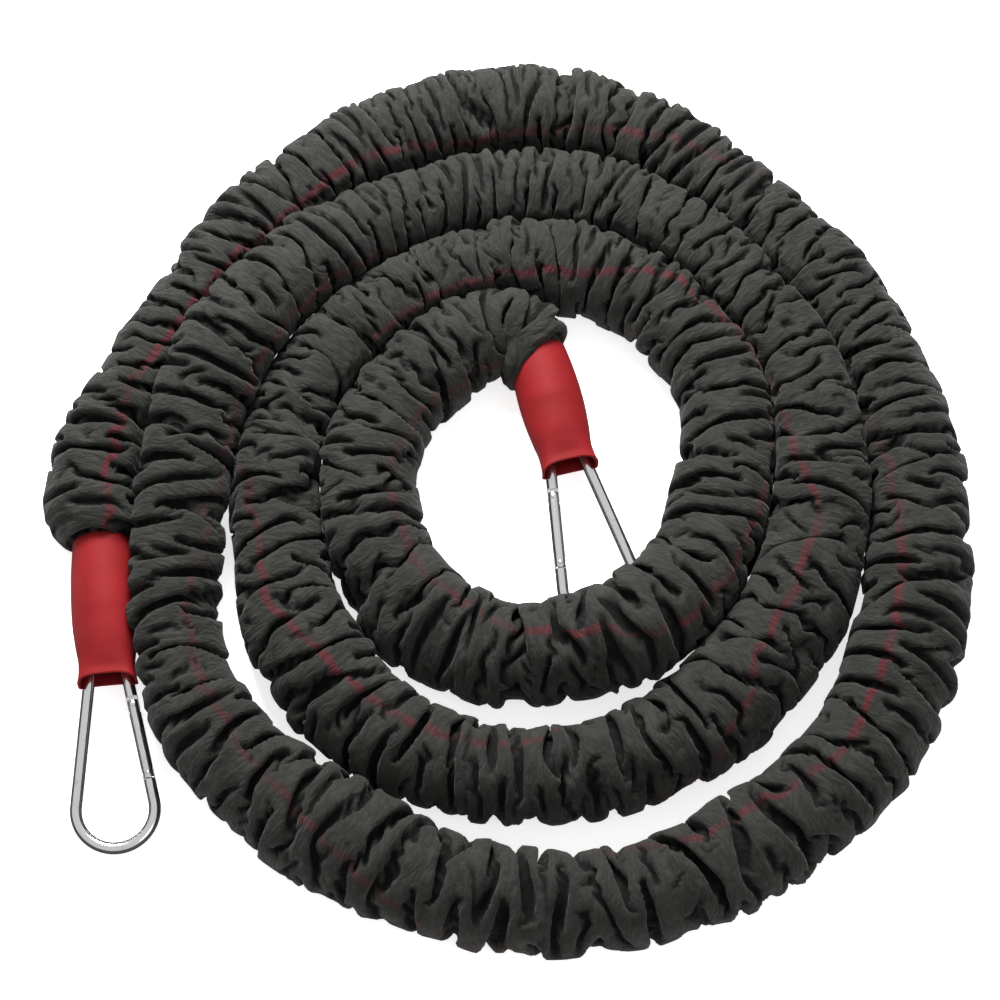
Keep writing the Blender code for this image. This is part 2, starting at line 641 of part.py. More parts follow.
def hook_body(end):
    body = as_mesh(tube(f"{end}_hook_body", hook_line(), WIRE_RADIUS, 3))
    frame = hook_frame(end)
    add(body, frame, steel)
    out = WIRE_RADIUS + OVERRUN
    hole = (RIVET_RADIUS + TOUCH_GAP) / math.cos(math.pi / RIVET_SIDES)
    notch = LATCH_RADIUS + LATCH_ROOM
    hinge = tongue_cuts(f"{end}_hinge_tongue", -HINGE_SHOULDER, TONGUE_REACH + OVERRUN)
    hinge.append(rod(f"{end}_rivet_hole", (0, 0, -out), (0, 0, out), hole, RIVET_SIDES))
    nose = tongue_cuts(f"{end}_nose_tongue", -NOSE_REACH - OVERRUN, NOSE_SHOULDER)
    nose.append(block(f"{end}_nose_notch", (-notch, -out, -out), (notch, notch, out)))
    for share, cutters in ((HINGE_SHARE, hinge), (LATCH_SHARE, nose)):
        for cutter in cutters:
            add(cutter, frame @ leg_frame(share), None)
        cut(body, cutters)


def gate(end):
    """The gate's bar, slotted over the hook's two tongues and bored for its spring."""
    frame = hook_frame(end) @ leg_frame(HINGE_SHARE)
    length = GATE_SPAN + GATE_TIP
    bar = as_mesh(tube(f"{end}_gate", [(-GATE_BACK, 0, 0), (length, 0, 0)], WIRE_RADIUS, 3))
    add(bar, frame, steel)
    out = WIRE_RADIUS + OVERRUN
    half = SLOT_WIDTH / 2
    rivet = (RIVET_RADIUS + TOUCH_GAP) / math.cos(math.pi / RIVET_SIDES)
    latch = (LATCH_RADIUS + TOUCH_GAP) / math.cos(math.pi / RIVET_SIDES)
    bore_end = HINGE_SLOT_END + GATE_BORE_DEPTH
    slot = GATE_SPAN - NOSE_SLOT_END
    cutters = [
        block(f"{end}_hinge_slot", (-GATE_BACK - OVERRUN, -out, -half), (HINGE_SLOT_END, out, half)),
        block(f"{end}_nose_slot", (slot, -out, -half), (length + OVERRUN, out, half)),
        rod(f"{end}_gate_rivet_hole", (0, 0, -out), (0, 0, out), rivet, RIVET_SIDES),
        rod(f"{end}_gate_latch_hole", (GATE_SPAN, 0, -out), (GATE_SPAN, 0, out), latch, RIVET_SIDES),
        rod(f"{end}_gate_bore", (0, 0, 0), (bore_end, 0, 0), GATE_BORE_RADIUS, RIVET_SIDES),
    ]
    for cutter in cutters:
        add(cutter, frame, None)
    cut(bar, cutters)


def gate_pins(end):
    """The rivet that the gate turns on and the latch pin across the gate's tip."""
    frame = hook_frame(end) @ leg_frame(HINGE_SHARE)
    half = WIRE_RADIUS - RIVET_RECESS
    rivet = rod(f"{end}_hinge_rivet", (0, 0, -half), (0, 0, half), RIVET_RADIUS, RIVET_SIDES)
    latch = rod(f"{end}_latch_pin", (0, 0, -half), (0, 0, half), LATCH_RADIUS, RIVET_SIDES)
    add(rivet, frame, steel)
    add(latch, frame @ Matrix.Translation((GATE_SPAN, 0, 0)), steel)


def gate_spring(end):
    """The coil spring and the plunger that push on the hinge tongue from inside the gate."""
    frame = hook_frame(end) @ leg_frame(HINGE_SHARE)
    front = TONGUE_SWEEP + TOUCH_GAP
    back = front + PLUNGER_LENGTH
    fit = GATE_BORE_RADIUS * math.cos(math.pi / RIVET_SIDES) - TOUCH_GAP / 2
    add(rod(f"{end}_gate_plunger", (front, 0, 0), (back, 0, 0), fit, RIVET_SIDES), frame, steel)
    start = back + TOUCH_GAP + SPRING_WIRE_RADIUS
    stop = HINGE_SLOT_END + GATE_BORE_DEPTH - TOUCH_GAP - SPRING_WIRE_RADIUS
    count = SPRING_TURNS * SPRING_POINTS_PER_TURN
    radius = fit - SPRING_WIRE_RADIUS
    points = []
    for index in range(count + 1):
        angle = math.tau * index / SPRING_POINTS_PER_TURN
        x = start + (stop - start) * index / count
        points.append((x, radius * math.cos(angle), radius * math.sin(angle)))
    spring = tube(f"{end}_gate_spring", points, SPRING_WIRE_RADIUS, 0, twist="MINIMUM")
    add(spring, frame, steel)


def stand_on_origin():
    """Moves everything so that the box of the whole part is centred over the origin."""
    graph = bpy.context.evaluated_depsgraph_get()
    graph.update()
    corners = []
    for thing in bpy.context.scene.objects:
        if not thing.hide_render:
            shape = thing.evaluated_get(graph)
            mesh = shape.to_mesh()
            corners += [thing.matrix_world @ vertex.co for vertex in mesh.vertices]
            shape.to_mesh_clear()
    low, high = np.min(corners, axis=0), np.max(corners, axis=0)
    shift = Matrix.Translation((-(low[0] + high[0]) / 2, -(low[1] + high[1]) / 2, 0))
    for thing in bpy.context.scene.objects:
        thing.matrix_world = shift @ thing.matrix_world


def build():
    clear_scene()
    along, line = route()
    places = bore_places(along, line)
    bore_line = on_line(along, line, places)
    sleeve(along, line, bore_line)
    lines = strands(bore_line)
    for end in CUFF_LENGTHS:
        cuff(end)
        sleeve_clamp(end)
        anchor_plug(end, [points[0 if end == "outer" else -1] for points in lines])
        anchor_pin(end)
        tether_loop(end)
        hook_body(end)
        gate(end)
        gate_pins(end)
        gate_spring(end)
    stand_on_origin()


build()
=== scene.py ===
"""Studio scene of the resistance sprint trainer: gathered sleeve, cuffs, snap hooks, floor, light.

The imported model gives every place. The sleeve is woven here as a lattice of cloth, pushed
together lengthwise on its core until it gathers in folds, and then led along the cord's route.
"""
import json
import math

import bmesh
import bpy
import numpy as np
from mathutils import Matrix, Vector


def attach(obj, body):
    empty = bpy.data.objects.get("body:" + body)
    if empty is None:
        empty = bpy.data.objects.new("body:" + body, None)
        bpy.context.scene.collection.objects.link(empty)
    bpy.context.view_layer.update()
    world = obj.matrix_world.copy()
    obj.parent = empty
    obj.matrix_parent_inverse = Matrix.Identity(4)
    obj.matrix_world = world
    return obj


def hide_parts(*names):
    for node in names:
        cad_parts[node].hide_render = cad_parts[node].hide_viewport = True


MM = 0.001

# Route of the cord seen from above, as in the part. The clock runs clockwise from the left.
COIL_CENTRE = (0.010, 0.0)
COIL_STEP = math.radians(45)
COIL_RADII = (
    0.187, 0.200, 0.175, 0.168, 0.181, 0.184, 0.172, 0.151,
    0.149, 0.157, 0.137, 0.127, 0.127, 0.125, 0.121, 0.109,
    0.108, 0.116, 0.100, 0.081, 0.077, 0.073, 0.067, 0.067,
    0.072, 0.090,
)
COIL_FIRST = math.radians(33)
COIL_LAST = math.radians(1150)
COIL_STEPS = 6
LINE_STEPS = 12
NECK_POINTS = 6
LEAD_POINTS = ((-0.1792, 0.0080), (-0.1752, 0.0238), (-0.1664, 0.0412), (-0.1550, 0.0645))
BEND_RADIUS = 0.0145
BEND_ANGLES = tuple(math.radians(angle) for angle in (80, 60, 40, 20))
NECK_LEAD = 0.002
ROUTE_HEIGHT = 0.0164
LIFT_CLOCKS = (math.radians(392), math.radians(958))
LIFT_SPANS = (math.radians(62), math.radians(52))
LIFT_HEIGHTS = (0.014, 0.0085)
PATH_STEP = 0.003

# Where the soft sleeve lies in the photograph, next to the part's firm one: how much farther out
# it lies and how much plumper it is, in millimetres, every 15 degrees of the clock from 30 on
LOOK_CLOCKS = 30 + 15 * np.arange(76)
LOOK_SHIFTS = (
    -4.3, -6, -5, -4.5, -3, -1.5, -5.5, -4, -1, -1.5, 0, -0.5, 1.5, 0.5, -1, 0, -1.5, -4.5,
    -5.5, 0, 3.2, 1.1, -1.7, -1, 0, -1.5, -3, -5.5, -4, -1, 1.5, 2, 4.5, 2.5, -1, -2, -3.5, -4,
    -0.5, 1.5, 2.3, 3.3, 2.5, -1, -0.8, -2.5, 1, 4.5, 4.7, 4.3, 2.3, -0.5, 0.5, 4.5, 7, 6, 7.5,
    4, 4, 3, 2.6, 2.4, 1.5, 2, 1.5, 2.7, 4, 5, 5, 5, 4.8, 5.8, 5.3, 4.8, 2.5, 0,
)
LOOK_PLUMPNESS = (
    -0.5, -0.5, 0, 0.5, 0.5, -0.5, -1.5, -0.5, -0.5, -0.5, 1, 1.5, 1.5, 1.5, 1, -1, -1, 1, 3, 0,
    -2.5, -2, -1, 0, 0.8, -0.2, -1.5, -1.5, -1.5, -0.5, 0, 0, 0, 1, 3.2, 4.3, 4, 3.5, -0.5,
    -1.5, -2.2, -2, 0, 1.8, 2, -0.2, 0.5, 1, 1.2, 0.7, 0, 0, 0, -1, -1.5, -1, -1, 0, 1.5, 2, 2,
    1.8, 1, 1, 0.5, 0.5, 0.5, 2.6, 2.4, 2.2, 1.8, 1.2, 0, 0, 0, 0,
)

# Rubber strands of the core, as in the part
STRAND_RADIUS = 0.0040
STRAND_OFFSET = 0.004792
STRAND_ANGLES = tuple(math.radians(angle) for angle in (90, 210, 330))
STRAND_SIDES = 14
SOCKET_DEPTH = 0.0035

# Cuffs
CUFF_LENGTHS = {"outer": 0.066, "inner": 0.060}
CUFF_RIMS = {"outer": (-0.1746, -0.0205), "inner": (0.0138, 0.0724)}
CUFF_HEADINGS = {"outer": math.radians(5.5), "inner": math.radians(14.0)}
CUFF_HEIGHT = 0.014336
BELLY_RADIUS = 0.014236
SLEEVE_ENDS = {"outer": 0.0243, "inner": 0.0183}
WIRE_RADIUS = 0.0025
HOOK_INSET = 0.0255

# Lowest place of the cloth, in metres
LOWEST_CLOTH = 0.0001

# Cloth of the sleeve, in millimetres
CLOTH_RADIUS = 20.3
CORE_RADIUS = 11.0
NECK_RADIUS = 11.0
FULL_RADIUS = 24.0
WIDEST_RADIUS = 27.0
FOLD_RADIUS = 17.0
FOLD_LENGTH = 24.0
FOLD_RISE = 18.0
FLARE_LENGTH = 11.0
FLARE_SLOPE = 0.65
RIM_CLEARANCE = 14.0
RIM_OVERLAP = 4.0
RIM_FADE = 5.0
RIM_HOLD = (0.5, 7.0)
HOOD_CLEARANCE = 14.4
HOOD_LENGTH = 6.0
HOOD_OVERLAP = 13.0
HOOD_FADE = 7.0
HOOD_HOLD = (0.5, 12.0)
HOOD_SLOPE = 0.5
HOLD_GAP = 0.3
EDGE_REACH = 0.6
END_ROWS = 80

# Room round the cloth, in millimetres and in directions round the line
ROOM_BINS = 96
NEIGHBOUR_DISTANCE = 110.0
NEAR_DISTANCE = 2.4 * FULL_RADIUS
NO_LIMIT = 1000.0
LEAST_FACING = 0.05
LEAST_SLOPE = 0.02
CLOTH_GAP = 0.2
FLOOR_GAP = 0.3
CUFF_POINTS = 30

# Lattice of the cloth, in millimetres: its squares, how much of it is gathered, and how it is
# settled, as pressure, share of bending and share of shear
SEED = 11
COARSE_STEP = 3.2
ROW_GROUP = 4
GATHER = 1.64
GATHER_SPREAD = 0.07
GATHER_WAVES = (71, 43)
TURN_GATHER = 0.5
TURN_REACH = 14
STEP_SHARE = 0.94
STEP_NORTH = 0.11
STEP_SPREAD = 0.07
STEP_WAVES = (160, 97)
NORTH_SPAN = 180
COARSE_SHARE = 0.81
COARSE_NORTH = 0.10
COARSE_SLACK = 0.97
FINE_SLACK = 1.06
LEAST_GIRTH = 0.72
CORE_GIVE = 0.8
FULL_ROUNDS = (260, 130)
GROWING_SHARE = 0.6
COARSE_HOLD = (0.02, 0.35, 0.15)
FINE_HOLD = (0.015, 0.2, 0.2)
LEAST_STRETCH = 0.15
TINY = 1e-6

# Folds of the cloth: depths in millimetres, and wavelengths in points along and round it, or in
# millimetres round it for waves and lines. Bumps make the outline uneven, pinches draw single
# lines in, and waves and lines are what the cloth starts with
NOISE_FALL = 1.2
FINE_PLACES = 4
BUMP_DEPTH = 1.3
BUMP_SPREAD = 1.2
BUMP_EDGE = 1.5
BUMP_WAVES = (6.5, 50)
BUMP_RISE = 2.8
PINCH_DEPTH = 5.2
PINCH_WAVES = (27, 85)
PINCH_WIDTH = 0.30
PINCH_FROM = 18.0
PINCH_RISE = 3.5
UNEVEN_MIDDLE = 0.62
UNEVEN_SPREAD = 0.38
UNEVEN_EDGE = 1.6
UNEVEN_WAVES = (80, 60)
FLARE_ROOM = 1.08
FLARE_EDGE = 0.01
WAVE_DEPTH = 0.4
WAVE_LENGTHS = (5, 14)
LINE_DEPTH = 5
LINE_WIDTH = 0.25
LINE_LENGTHS = (20, 40)

# How hollow the cloth is in broad, middle and fine measure, which sets the painted shade between
# its folds and in its creases: rounds of softening, shift and span in millimetres, and weight
CREASE_SHADE_MEASURES = ((30, 0.2, 2.6, 0.5), (6, -0.12, 0.8, 0.6), (2, -0.06, 0.35, 0.45))

# Two red stripes, woven in opposite each other, wind slowly round the sleeve. Distance along
# the cord in millimetres, angle from the coil's outer side over the top, and how red it shows
STRIPE_WAY = (
    (0, 105, 1.0), (60, 115, 1.0), (100, 97, 0.9), (150, 110, 0.9), (200, 129, 0.8),
    (250, 122, 0.9), (310, 155, 0.8), (360, 140, 0.5), (400, 112, 0.7), (430, 90, 0.3),
    (480, 30, 0.1), (560, -30, 0.1), (640, -62, 0.5), (670, -72, 1.0), (730, -74, 1.0),
    (760, -82, 0.8), (820, -64, 0.8), (870, -32, 0.4), (915, -10, 0.4), (960, 45, 0.4),
    (1000, 76, 0.6), (1050, 100, 0.5), (1110, 112, 0.4), (1170, 145, 0.3), (1260, 150, 0.7),
    (1320, 152, 0.4), (1390, 212, 0.2), (1470, 200, 0.7), (1530, 165, 1.0), (1590, 145, 0.4),
    (1650, 92, 0.8), (1710, 90, 0.8), (1745, 45, 0.6), (1790, -25, 0.3), (1830, -70, 0.5),
    (1920, -86, 1.0), (1960, -112, 0.8), (2010, -116, 0.5), (2060, -170, 0.2), (2110, -228, 0.5),
    (2190, -231, 0.9), (2225, -240, 0.8), (2260, -292, 1.0), (2325, -335, 0.4), (2370, -312, 0.7),
    (2430, -310, 0.8), (2465, -274, 1.0), (2510, -252, 0.6), (2600, -238, 0.5), (2740, -180, 0.4),
)

# Shape of the cuffs
CUFF_WALL = 0.0011
CUFF_TAPER = 0.030
CUFF_SIDES = 72
RIM_RADIUS = 0.0126
COLLAR_RADIUS = 0.01393
BELLY_PLACE_SHARES = (0.12, 0.36, 0.7, 0.9)
BELLY_WIDTH_SHARES = (0.935, 0.985, 1.02, 1.022)
TAPER_PLACE_SHARES = (0.0, 0.333, 0.6, 0.733, 0.867, 1.0)
TAPER_WIDTH_SHARES = (0.993, 0.935, 0.855, 0.835, 0.85, 0.895)
TAPER_HEIGHT_SHARES = (0.965, 0.86, 0.705, 0.62, 0.555, 0.545)
TAPER_ROUNDNESS = (2.0, 2.1, 2.4, 2.8, 3.2, 3.6)
MOUTH_HOLLOW = 0.0024
MOUTH_LENGTH = 0.012
MOUTH_CURVE = 1.5
CUFF_STEPS = 6
LIP_POINTS = 7

# Snap hooks, as in the part
HOOK_LENGTH = 0.100
HOOK_WIDTH = 0.038
HOOK_NARROW_WIDTH = 0.016
HOOK_SIDES = 32
COARSE_BENDS = (10, 17)
COARSE_LEGS = (2, 2, 2)
FINE_BENDS = (40, 72)
FINE_LEGS = (9, 13, 5)
SHARP_EDGE = math.radians(35)
HINGE_SHARE = 0.415
LATCH_SHARE = 0.838
OVERRUN = 0.002
TONGUE_THICKNESS = 0.0018
TONGUE_REACH = 0.0022
SLOT_WIDTH = 0.0024
GATE_BACK = 0.0019
GATE_TIP = 0.0022
GATE_EASE = 0.0005
EASE_SHARE = 0.3
GATE_STATIONS = 9
NOSE_REACH = 0.0021
RIVET_RADIUS = 0.0010
LATCH_RADIUS = 0.0007
LATCH_ROOM = 0.0004
PIN_SIDES = 20
PIN_MIDDLE = 0.00002
PIN_FOOT = 0.00034
HEAD_SHARE = 1.35
HEAD_PROFILE = ((0, 0.00028), (0.45, 0.00024), (0.8, 0.00012), (1, -0.00004), (0.97, -0.00030))
TOUCH_GAP = 0.0003
SWING_GAP = 0.0005
TILT_RANGES = {"outer": math.radians(14), "inner": math.radians(2)}
FLIPPED = {"outer": False, "inner": True}
NARROW_RADIUS = HOOK_NARROW_WIDTH / 2 - WIRE_RADIUS
WIDE_RADIUS = HOOK_WIDTH / 2 - WIRE_RADIUS
HOOK_REACH = HOOK_LENGTH - 2 * WIRE_RADIUS
HOOK_CENTRES = HOOK_REACH - NARROW_RADIUS - WIDE_RADIUS
LEG_ANGLE = math.asin((WIDE_RADIUS - NARROW_RADIUS) / HOOK_CENTRES)
LEG_LENGTH = HOOK_CENTRES * math.cos(LEG_ANGLE)
HOOK_TILT = math.asin((CUFF_HEIGHT - WIRE_RADIUS) / HOOK_REACH)
GATE_SPAN = LEG_LENGTH * (LATCH_SHARE - HINGE_SHARE)
HINGE_SHOULDER = math.hypot(GATE_BACK, WIRE_RADIUS) + TOUCH_GAP
HINGE_SLOT_END = math.hypot(TONGUE_REACH, WIRE_RADIUS) + SWING_GAP
NOSE_SHOULDER = GATE_TIP + SWING_GAP
NOSE_SLOT_END = NOSE_REACH + SWING_GAP

# Colours
WHITE = (1, 1, 1, 1)
CHARCOAL = (0.0215, 0.0217, 0.0190, 1)
WORN_CHARCOAL = (0.0285, 0.0284, 0.0250, 1)
STRIPE_RED = (0.072, 0.014, 0.0175, 1)
DEEP_RED = (0.19, 0.0075, 0.0095, 1)
BRIGHT_RED = (0.245, 0.010, 0.012, 1)
SCUFFED_RED = (0.30, 0.035, 0.033, 1)
BRIGHT_STEEL = (0.80, 0.81, 0.82, 1)
DULL_STEEL = (0.46, 0.46, 0.47, 1)
NYLON_BLACK = (0.020, 0.020, 0.022, 1)
WORN_NYLON = (0.038, 0.038, 0.040, 1)
LATEX_TAN = (0.48, 0.39, 0.24, 1)
TALC_TAN = (0.62, 0.56, 0.44, 1)
BRAID_BLACK = (0.018, 0.018, 0.020, 1)
BRAID_GREY = (0.060, 0.060, 0.066, 1)
FLOOR_WHITES = ((0.92, 0.92, 0.92, 1), (0.94, 0.94, 0.94, 1))
MIRRORED_FLOOR = (0.03, 0.03, 0.03, 1)

# Threads and stripes of the fabric, in millimetres
THREAD_PITCH = 0.62
STRIPE_EDGES = (1.7, 3.5)

# Studio. Lamps have a name, a place, an aim, a width and a power
FLOOR_LEVEL = -0.0002
FLOOR_SIDE = 40.0
CAMERA_ELEVATION = math.radians(65)
CAMERA_DISTANCE = 1.25
HALF_VIEW = 0.22
CAMERA_SHIFT = (-0.006, 0.014)
SKY_STRENGTH = 0.66
WALL_SHADE = (0.06, 0.06, 0.06, 1)
WALL_HEIGHTS = (0.12, 0.5)
BACKGROUND_WHITE = (1.6, 1.6, 1.6, 1)
LAMPS = (
    ("key_lamp", (-0.14, 0.62, 0.70), (0, 0.10, 0), 0.55, 19.0),
    ("fill_lamp", (0.9, -0.9, 1.2), (0, 0, 0), 0.8, 3.0),
)


def rise(share):
    """Goes gently from 0 to 1 as the share does."""
    share = np.clip(share, 0, 1)
    return share * share * (3 - 2 * share)


def smooth(points, steps):
    """A smooth curve through points, with each step's length taken into account."""
    def blend(one, other, start, stop):
        return one * (stop - t) / (stop - start) + other * (t - start) / (stop - start)

    points = np.vstack([2 * points[0] - points[1], points, 2 * points[-1] - points[-2]])
    knots = np.cumsum(np.r_[0, np.sqrt(np.linalg.norm(np.diff(points, axis=0), axis=1))])
    line = []
    for index in range(1, len(points) - 2):
        t0, t1, t2, t3 = knots[index - 1:index + 3]
        p0, p1, p2, p3 = points[index - 1:index + 3]
        for t in np.linspace(t1, t2, steps, endpoint=False):
            a1, a2, a3 = blend(p0, p1, t0, t1), blend(p1, p2, t1, t2), blend(p2, p3, t2, t3)
            line.append(blend(blend(a1, a2, t0, t2), blend(a2, a3, t1, t3), t1, t2))
    return np.array(line + [points[-2]])


def cuff_frame(end):
    """The cuff's frame in the model: origin in the rim, +X out along the cuff, +Z up."""
    joint = next(j for j in frame["joints"] if j["name"] == f"{end}_hook_tilt")
    turn = Matrix.Rotation(CUFF_HEADINGS[end] - math.pi / 2, 4, "Z")
    back = Matrix.Translation((HOOK_INSET - CUFF_LENGTHS[end], 0, 0))
    return Matrix.Translation(joint["pos_m"]) @ turn @ back


def model_shift():
    """From the route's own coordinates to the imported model's."""
    return cuff_frame("outer").translation - Vector((*CUFF_RIMS["outer"], CUFF_HEIGHT))


def clocks_along(line):
    """The clock in degrees of each point of the centre line, which is in millimetres."""
    centre = (Vector((*COIL_CENTRE, 0)) + model_shift()) * (1 / MM)
    x, y = line[:, 0] - centre.x, line[:, 1] - centre.y
    return np.degrees(np.unwrap(np.arctan2(y, -x)))


def coil_point(clock, radius):
    """A point of the coil's centre line, where the soft sleeve lies."""
    lift = 0.0
    for middle, span, height in zip(LIFT_CLOCKS, LIFT_SPANS, LIFT_HEIGHTS):
        lift += height * (1 + math.cos(math.pi * min(1, abs(clock - middle) / span))) / 2
    radius += np.interp(math.degrees(clock), LOOK_CLOCKS, LOOK_SHIFTS) * MM
    x = COIL_CENTRE[0] - radius * math.cos(clock)
    y = COIL_CENTRE[1] + radius * math.sin(clock)
    return Vector((x, y, ROUTE_HEIGHT + lift)) + model_shift()


def neck_points(end):
    """Points along a cuff's axis, from the sleeve's end to a little outside the rim."""
    places = np.linspace(SLEEVE_ENDS[end], -NECK_LEAD, NECK_POINTS)
    return [cuff_frame(end) @ Vector((place, 0, 0)) for place in places]


def route():
    """The cord's centre line with a point every few millimetres, and the distance along it."""
    clocks = COIL_STEP * np.arange(1, len(COIL_RADII) + 1)
    turns = smooth(np.c_[clocks, COIL_RADII], COIL_STEPS)
    coil = [coil_point(c, r) for c, r in turns if COIL_FIRST < c < COIL_LAST]
    levels = CUFF_HEIGHT + (ROUTE_HEIGHT - CUFF_HEIGHT) * rise(
        np.linspace(0, 1, len(LEAD_POINTS)))
    lead = [Vector((x, y, z)) + model_shift() for (x, y), z in zip(LEAD_POINTS, levels)]
    bend = []
    for angle in BEND_ANGLES:
        x = -NECK_LEAD - BEND_RADIUS * math.sin(angle)
        y = -BEND_RADIUS * (1 - math.cos(angle))
        z = (ROUTE_HEIGHT - CUFF_HEIGHT) * rise(angle / BEND_ANGLES[0])
        bend.append(cuff_frame("inner") @ Vector((x, y, z)))
    inner = neck_points("inner")[::-1]
    line = smooth(np.array(neck_points("outer") + lead + coil + bend + inner), LINE_STEPS)
    along = np.cumsum(np.r_[0, np.linalg.norm(np.diff(line, axis=0), axis=1)])
    places = np.linspace(0, along[-1], round(along[-1] / PATH_STEP) + 1)
    return places, between(along, line, places)


def between(along, table, places):
    """The rows of a table at places between its own."""
    return np.stack([np.interp(places, along, column) for column in table.T], axis=-1)


def directions(line):
    """Unit vectors along the line, to its left and up from it, at each of its points."""
    ahead = np.gradient(line, axis=0)
    ahead /= np.linalg.norm(ahead, axis=1)[:, None]
    left = np.cross((0, 0, 1), ahead)
    left /= np.linalg.norm(left, axis=1)[:, None]
    return ahead, left, np.cross(ahead, left)


def circle(sides):
    """Equal angles round a circle."""
    return np.arange(sides) * math.tau / sides


def ring_directions(sides, aside, above):
    """Unit vectors round each point of a line, from its side over its top."""
    angles = circle(sides)
    return (np.cos(angles)[None, :, None] * aside[:, None]
            + np.sin(angles)[None, :, None] * above[:, None])


def soft_noise(rows, columns, wave_along, wave_around, random):
    """Smooth random numbers with the given wavelengths, in points, that close round the tube."""
    field = random.standard_normal((rows, columns))
    along = np.fft.fftfreq(rows)[:, None] * wave_along
    around = np.fft.fftfreq(columns)[None] * wave_around
    kept = np.fft.fft2(field) * np.exp(-NOISE_FALL * (along ** 2 + around ** 2))
    field = np.real(np.fft.ifft2(kept))
    return field / field.std()


def room_round(places, line):
    """How far the cloth may stand from the centre line, by place and angle, in millimetres."""
    ahead, left, up = directions(line)
    across = ring_directions(ROOM_BINS, left, up)
    reach = np.full((len(line), ROOM_BINS), WIDEST_RADIUS)
    full = body_radius(places, places[-1])

    def keep_off(points, limits, near):
        """Limits the reach round each point of the line by the points near it."""
        for index in range(len(line)):
            to = points - line[index]
            apart = np.linalg.norm(to, axis=1)
            close = near[index] & (apart < NEAR_DISTANCE)
            if close.any():
                allowed = limits(index, close, to[close], apart[close])
                reach[index] = np.minimum(reach[index], allowed.min(axis=1))

    def plane(index, to, apart, limit):
        """The reach as far as a plane across the way to each point, at a distance from here."""
        facing = across[index] @ (to / apart[:, None]).T
        allowed = limit[None] / np.maximum(facing, LEAST_FACING)
        return np.where(facing > LEAST_FACING, allowed, NO_LIMIT)

    def ball(index, to, apart, radius):
        """The reach as far as a ball round each point, which the cloth may lean over."""
        ahead_of = across[index] @ to.T
        beside = apart ** 2 - ahead_of ** 2
        hit = ahead_of - np.sqrt(np.maximum(radius ** 2 - beside, 0))
        return np.where((beside < radius ** 2) & (ahead_of > 0), hit, NO_LIMIT)

    def turns(index, close, to, apart):
        halfway = (apart ** 2 + full[index] ** 2 - full[close] ** 2) / (2 * apart)
        return plane(index, to, apart, halfway - CLOTH_GAP / 2)

    def wires(index, close, to, apart):
        return plane(index, to, apart, apart - WIRE_RADIUS / MM - 2 * CLOTH_GAP)

    def cuffs(index, close, to, apart):
        return ball(index, to, apart, BELLY_RADIUS / MM + 2 * CLOTH_GAP)

    others = np.abs(places[:, None] - places[None]) > NEIGHBOUR_DISTANCE
    keep_off(line, turns, others)
    for end in CUFF_LENGTHS:
        own = places if end == "outer" else places[-1] - places
        away = (own > NEIGHBOUR_DISTANCE)[:, None]
        shell = np.linspace(0, CUFF_LENGTHS[end], CUFF_POINTS)
        axis = np.array([cuff_frame(end) @ Vector((x, 0, 0)) for x in shell]) / MM
        keep_off(axis, cuffs, away)
        for tilt in (0, 1):
            keep_off(hook_points(end, tilt), wires, away)
    below = -across[..., 2]
    floor = (line[:, 2, None] - FLOOR_GAP) / np.maximum(below, LEAST_SLOPE)
    return np.where(below > LEAST_SLOPE, np.minimum(reach, floor), reach)


def past_ends(places, length):
    """How far places lie from the sleeve's outer and from its inner end, in millimetres."""
    return places - SLEEVE_ENDS["outer"] / MM, length - places - SLEEVE_ENDS["inner"] / MM


def body_radius(places, length):
    """The sleeve's plain radius along the cord, in millimetres."""
    from_outer, from_inner = past_ends(places, length)
    outer = (NECK_RADIUS + (RIM_CLEARANCE - NECK_RADIUS) * rise(from_outer)
             + (CLOTH_RADIUS - RIM_CLEARANCE) * rise(from_outer / FLARE_LENGTH))
    inner = (NECK_RADIUS + (HOOD_CLEARANCE - NECK_RADIUS) * rise(from_inner)
             + (FOLD_RADIUS - HOOD_CLEARANCE) * rise(from_inner / HOOD_LENGTH)
             + (CLOTH_RADIUS - FOLD_RADIUS) * rise((from_inner - FOLD_LENGTH) / FOLD_RISE))
    return np.minimum(outer, inner)


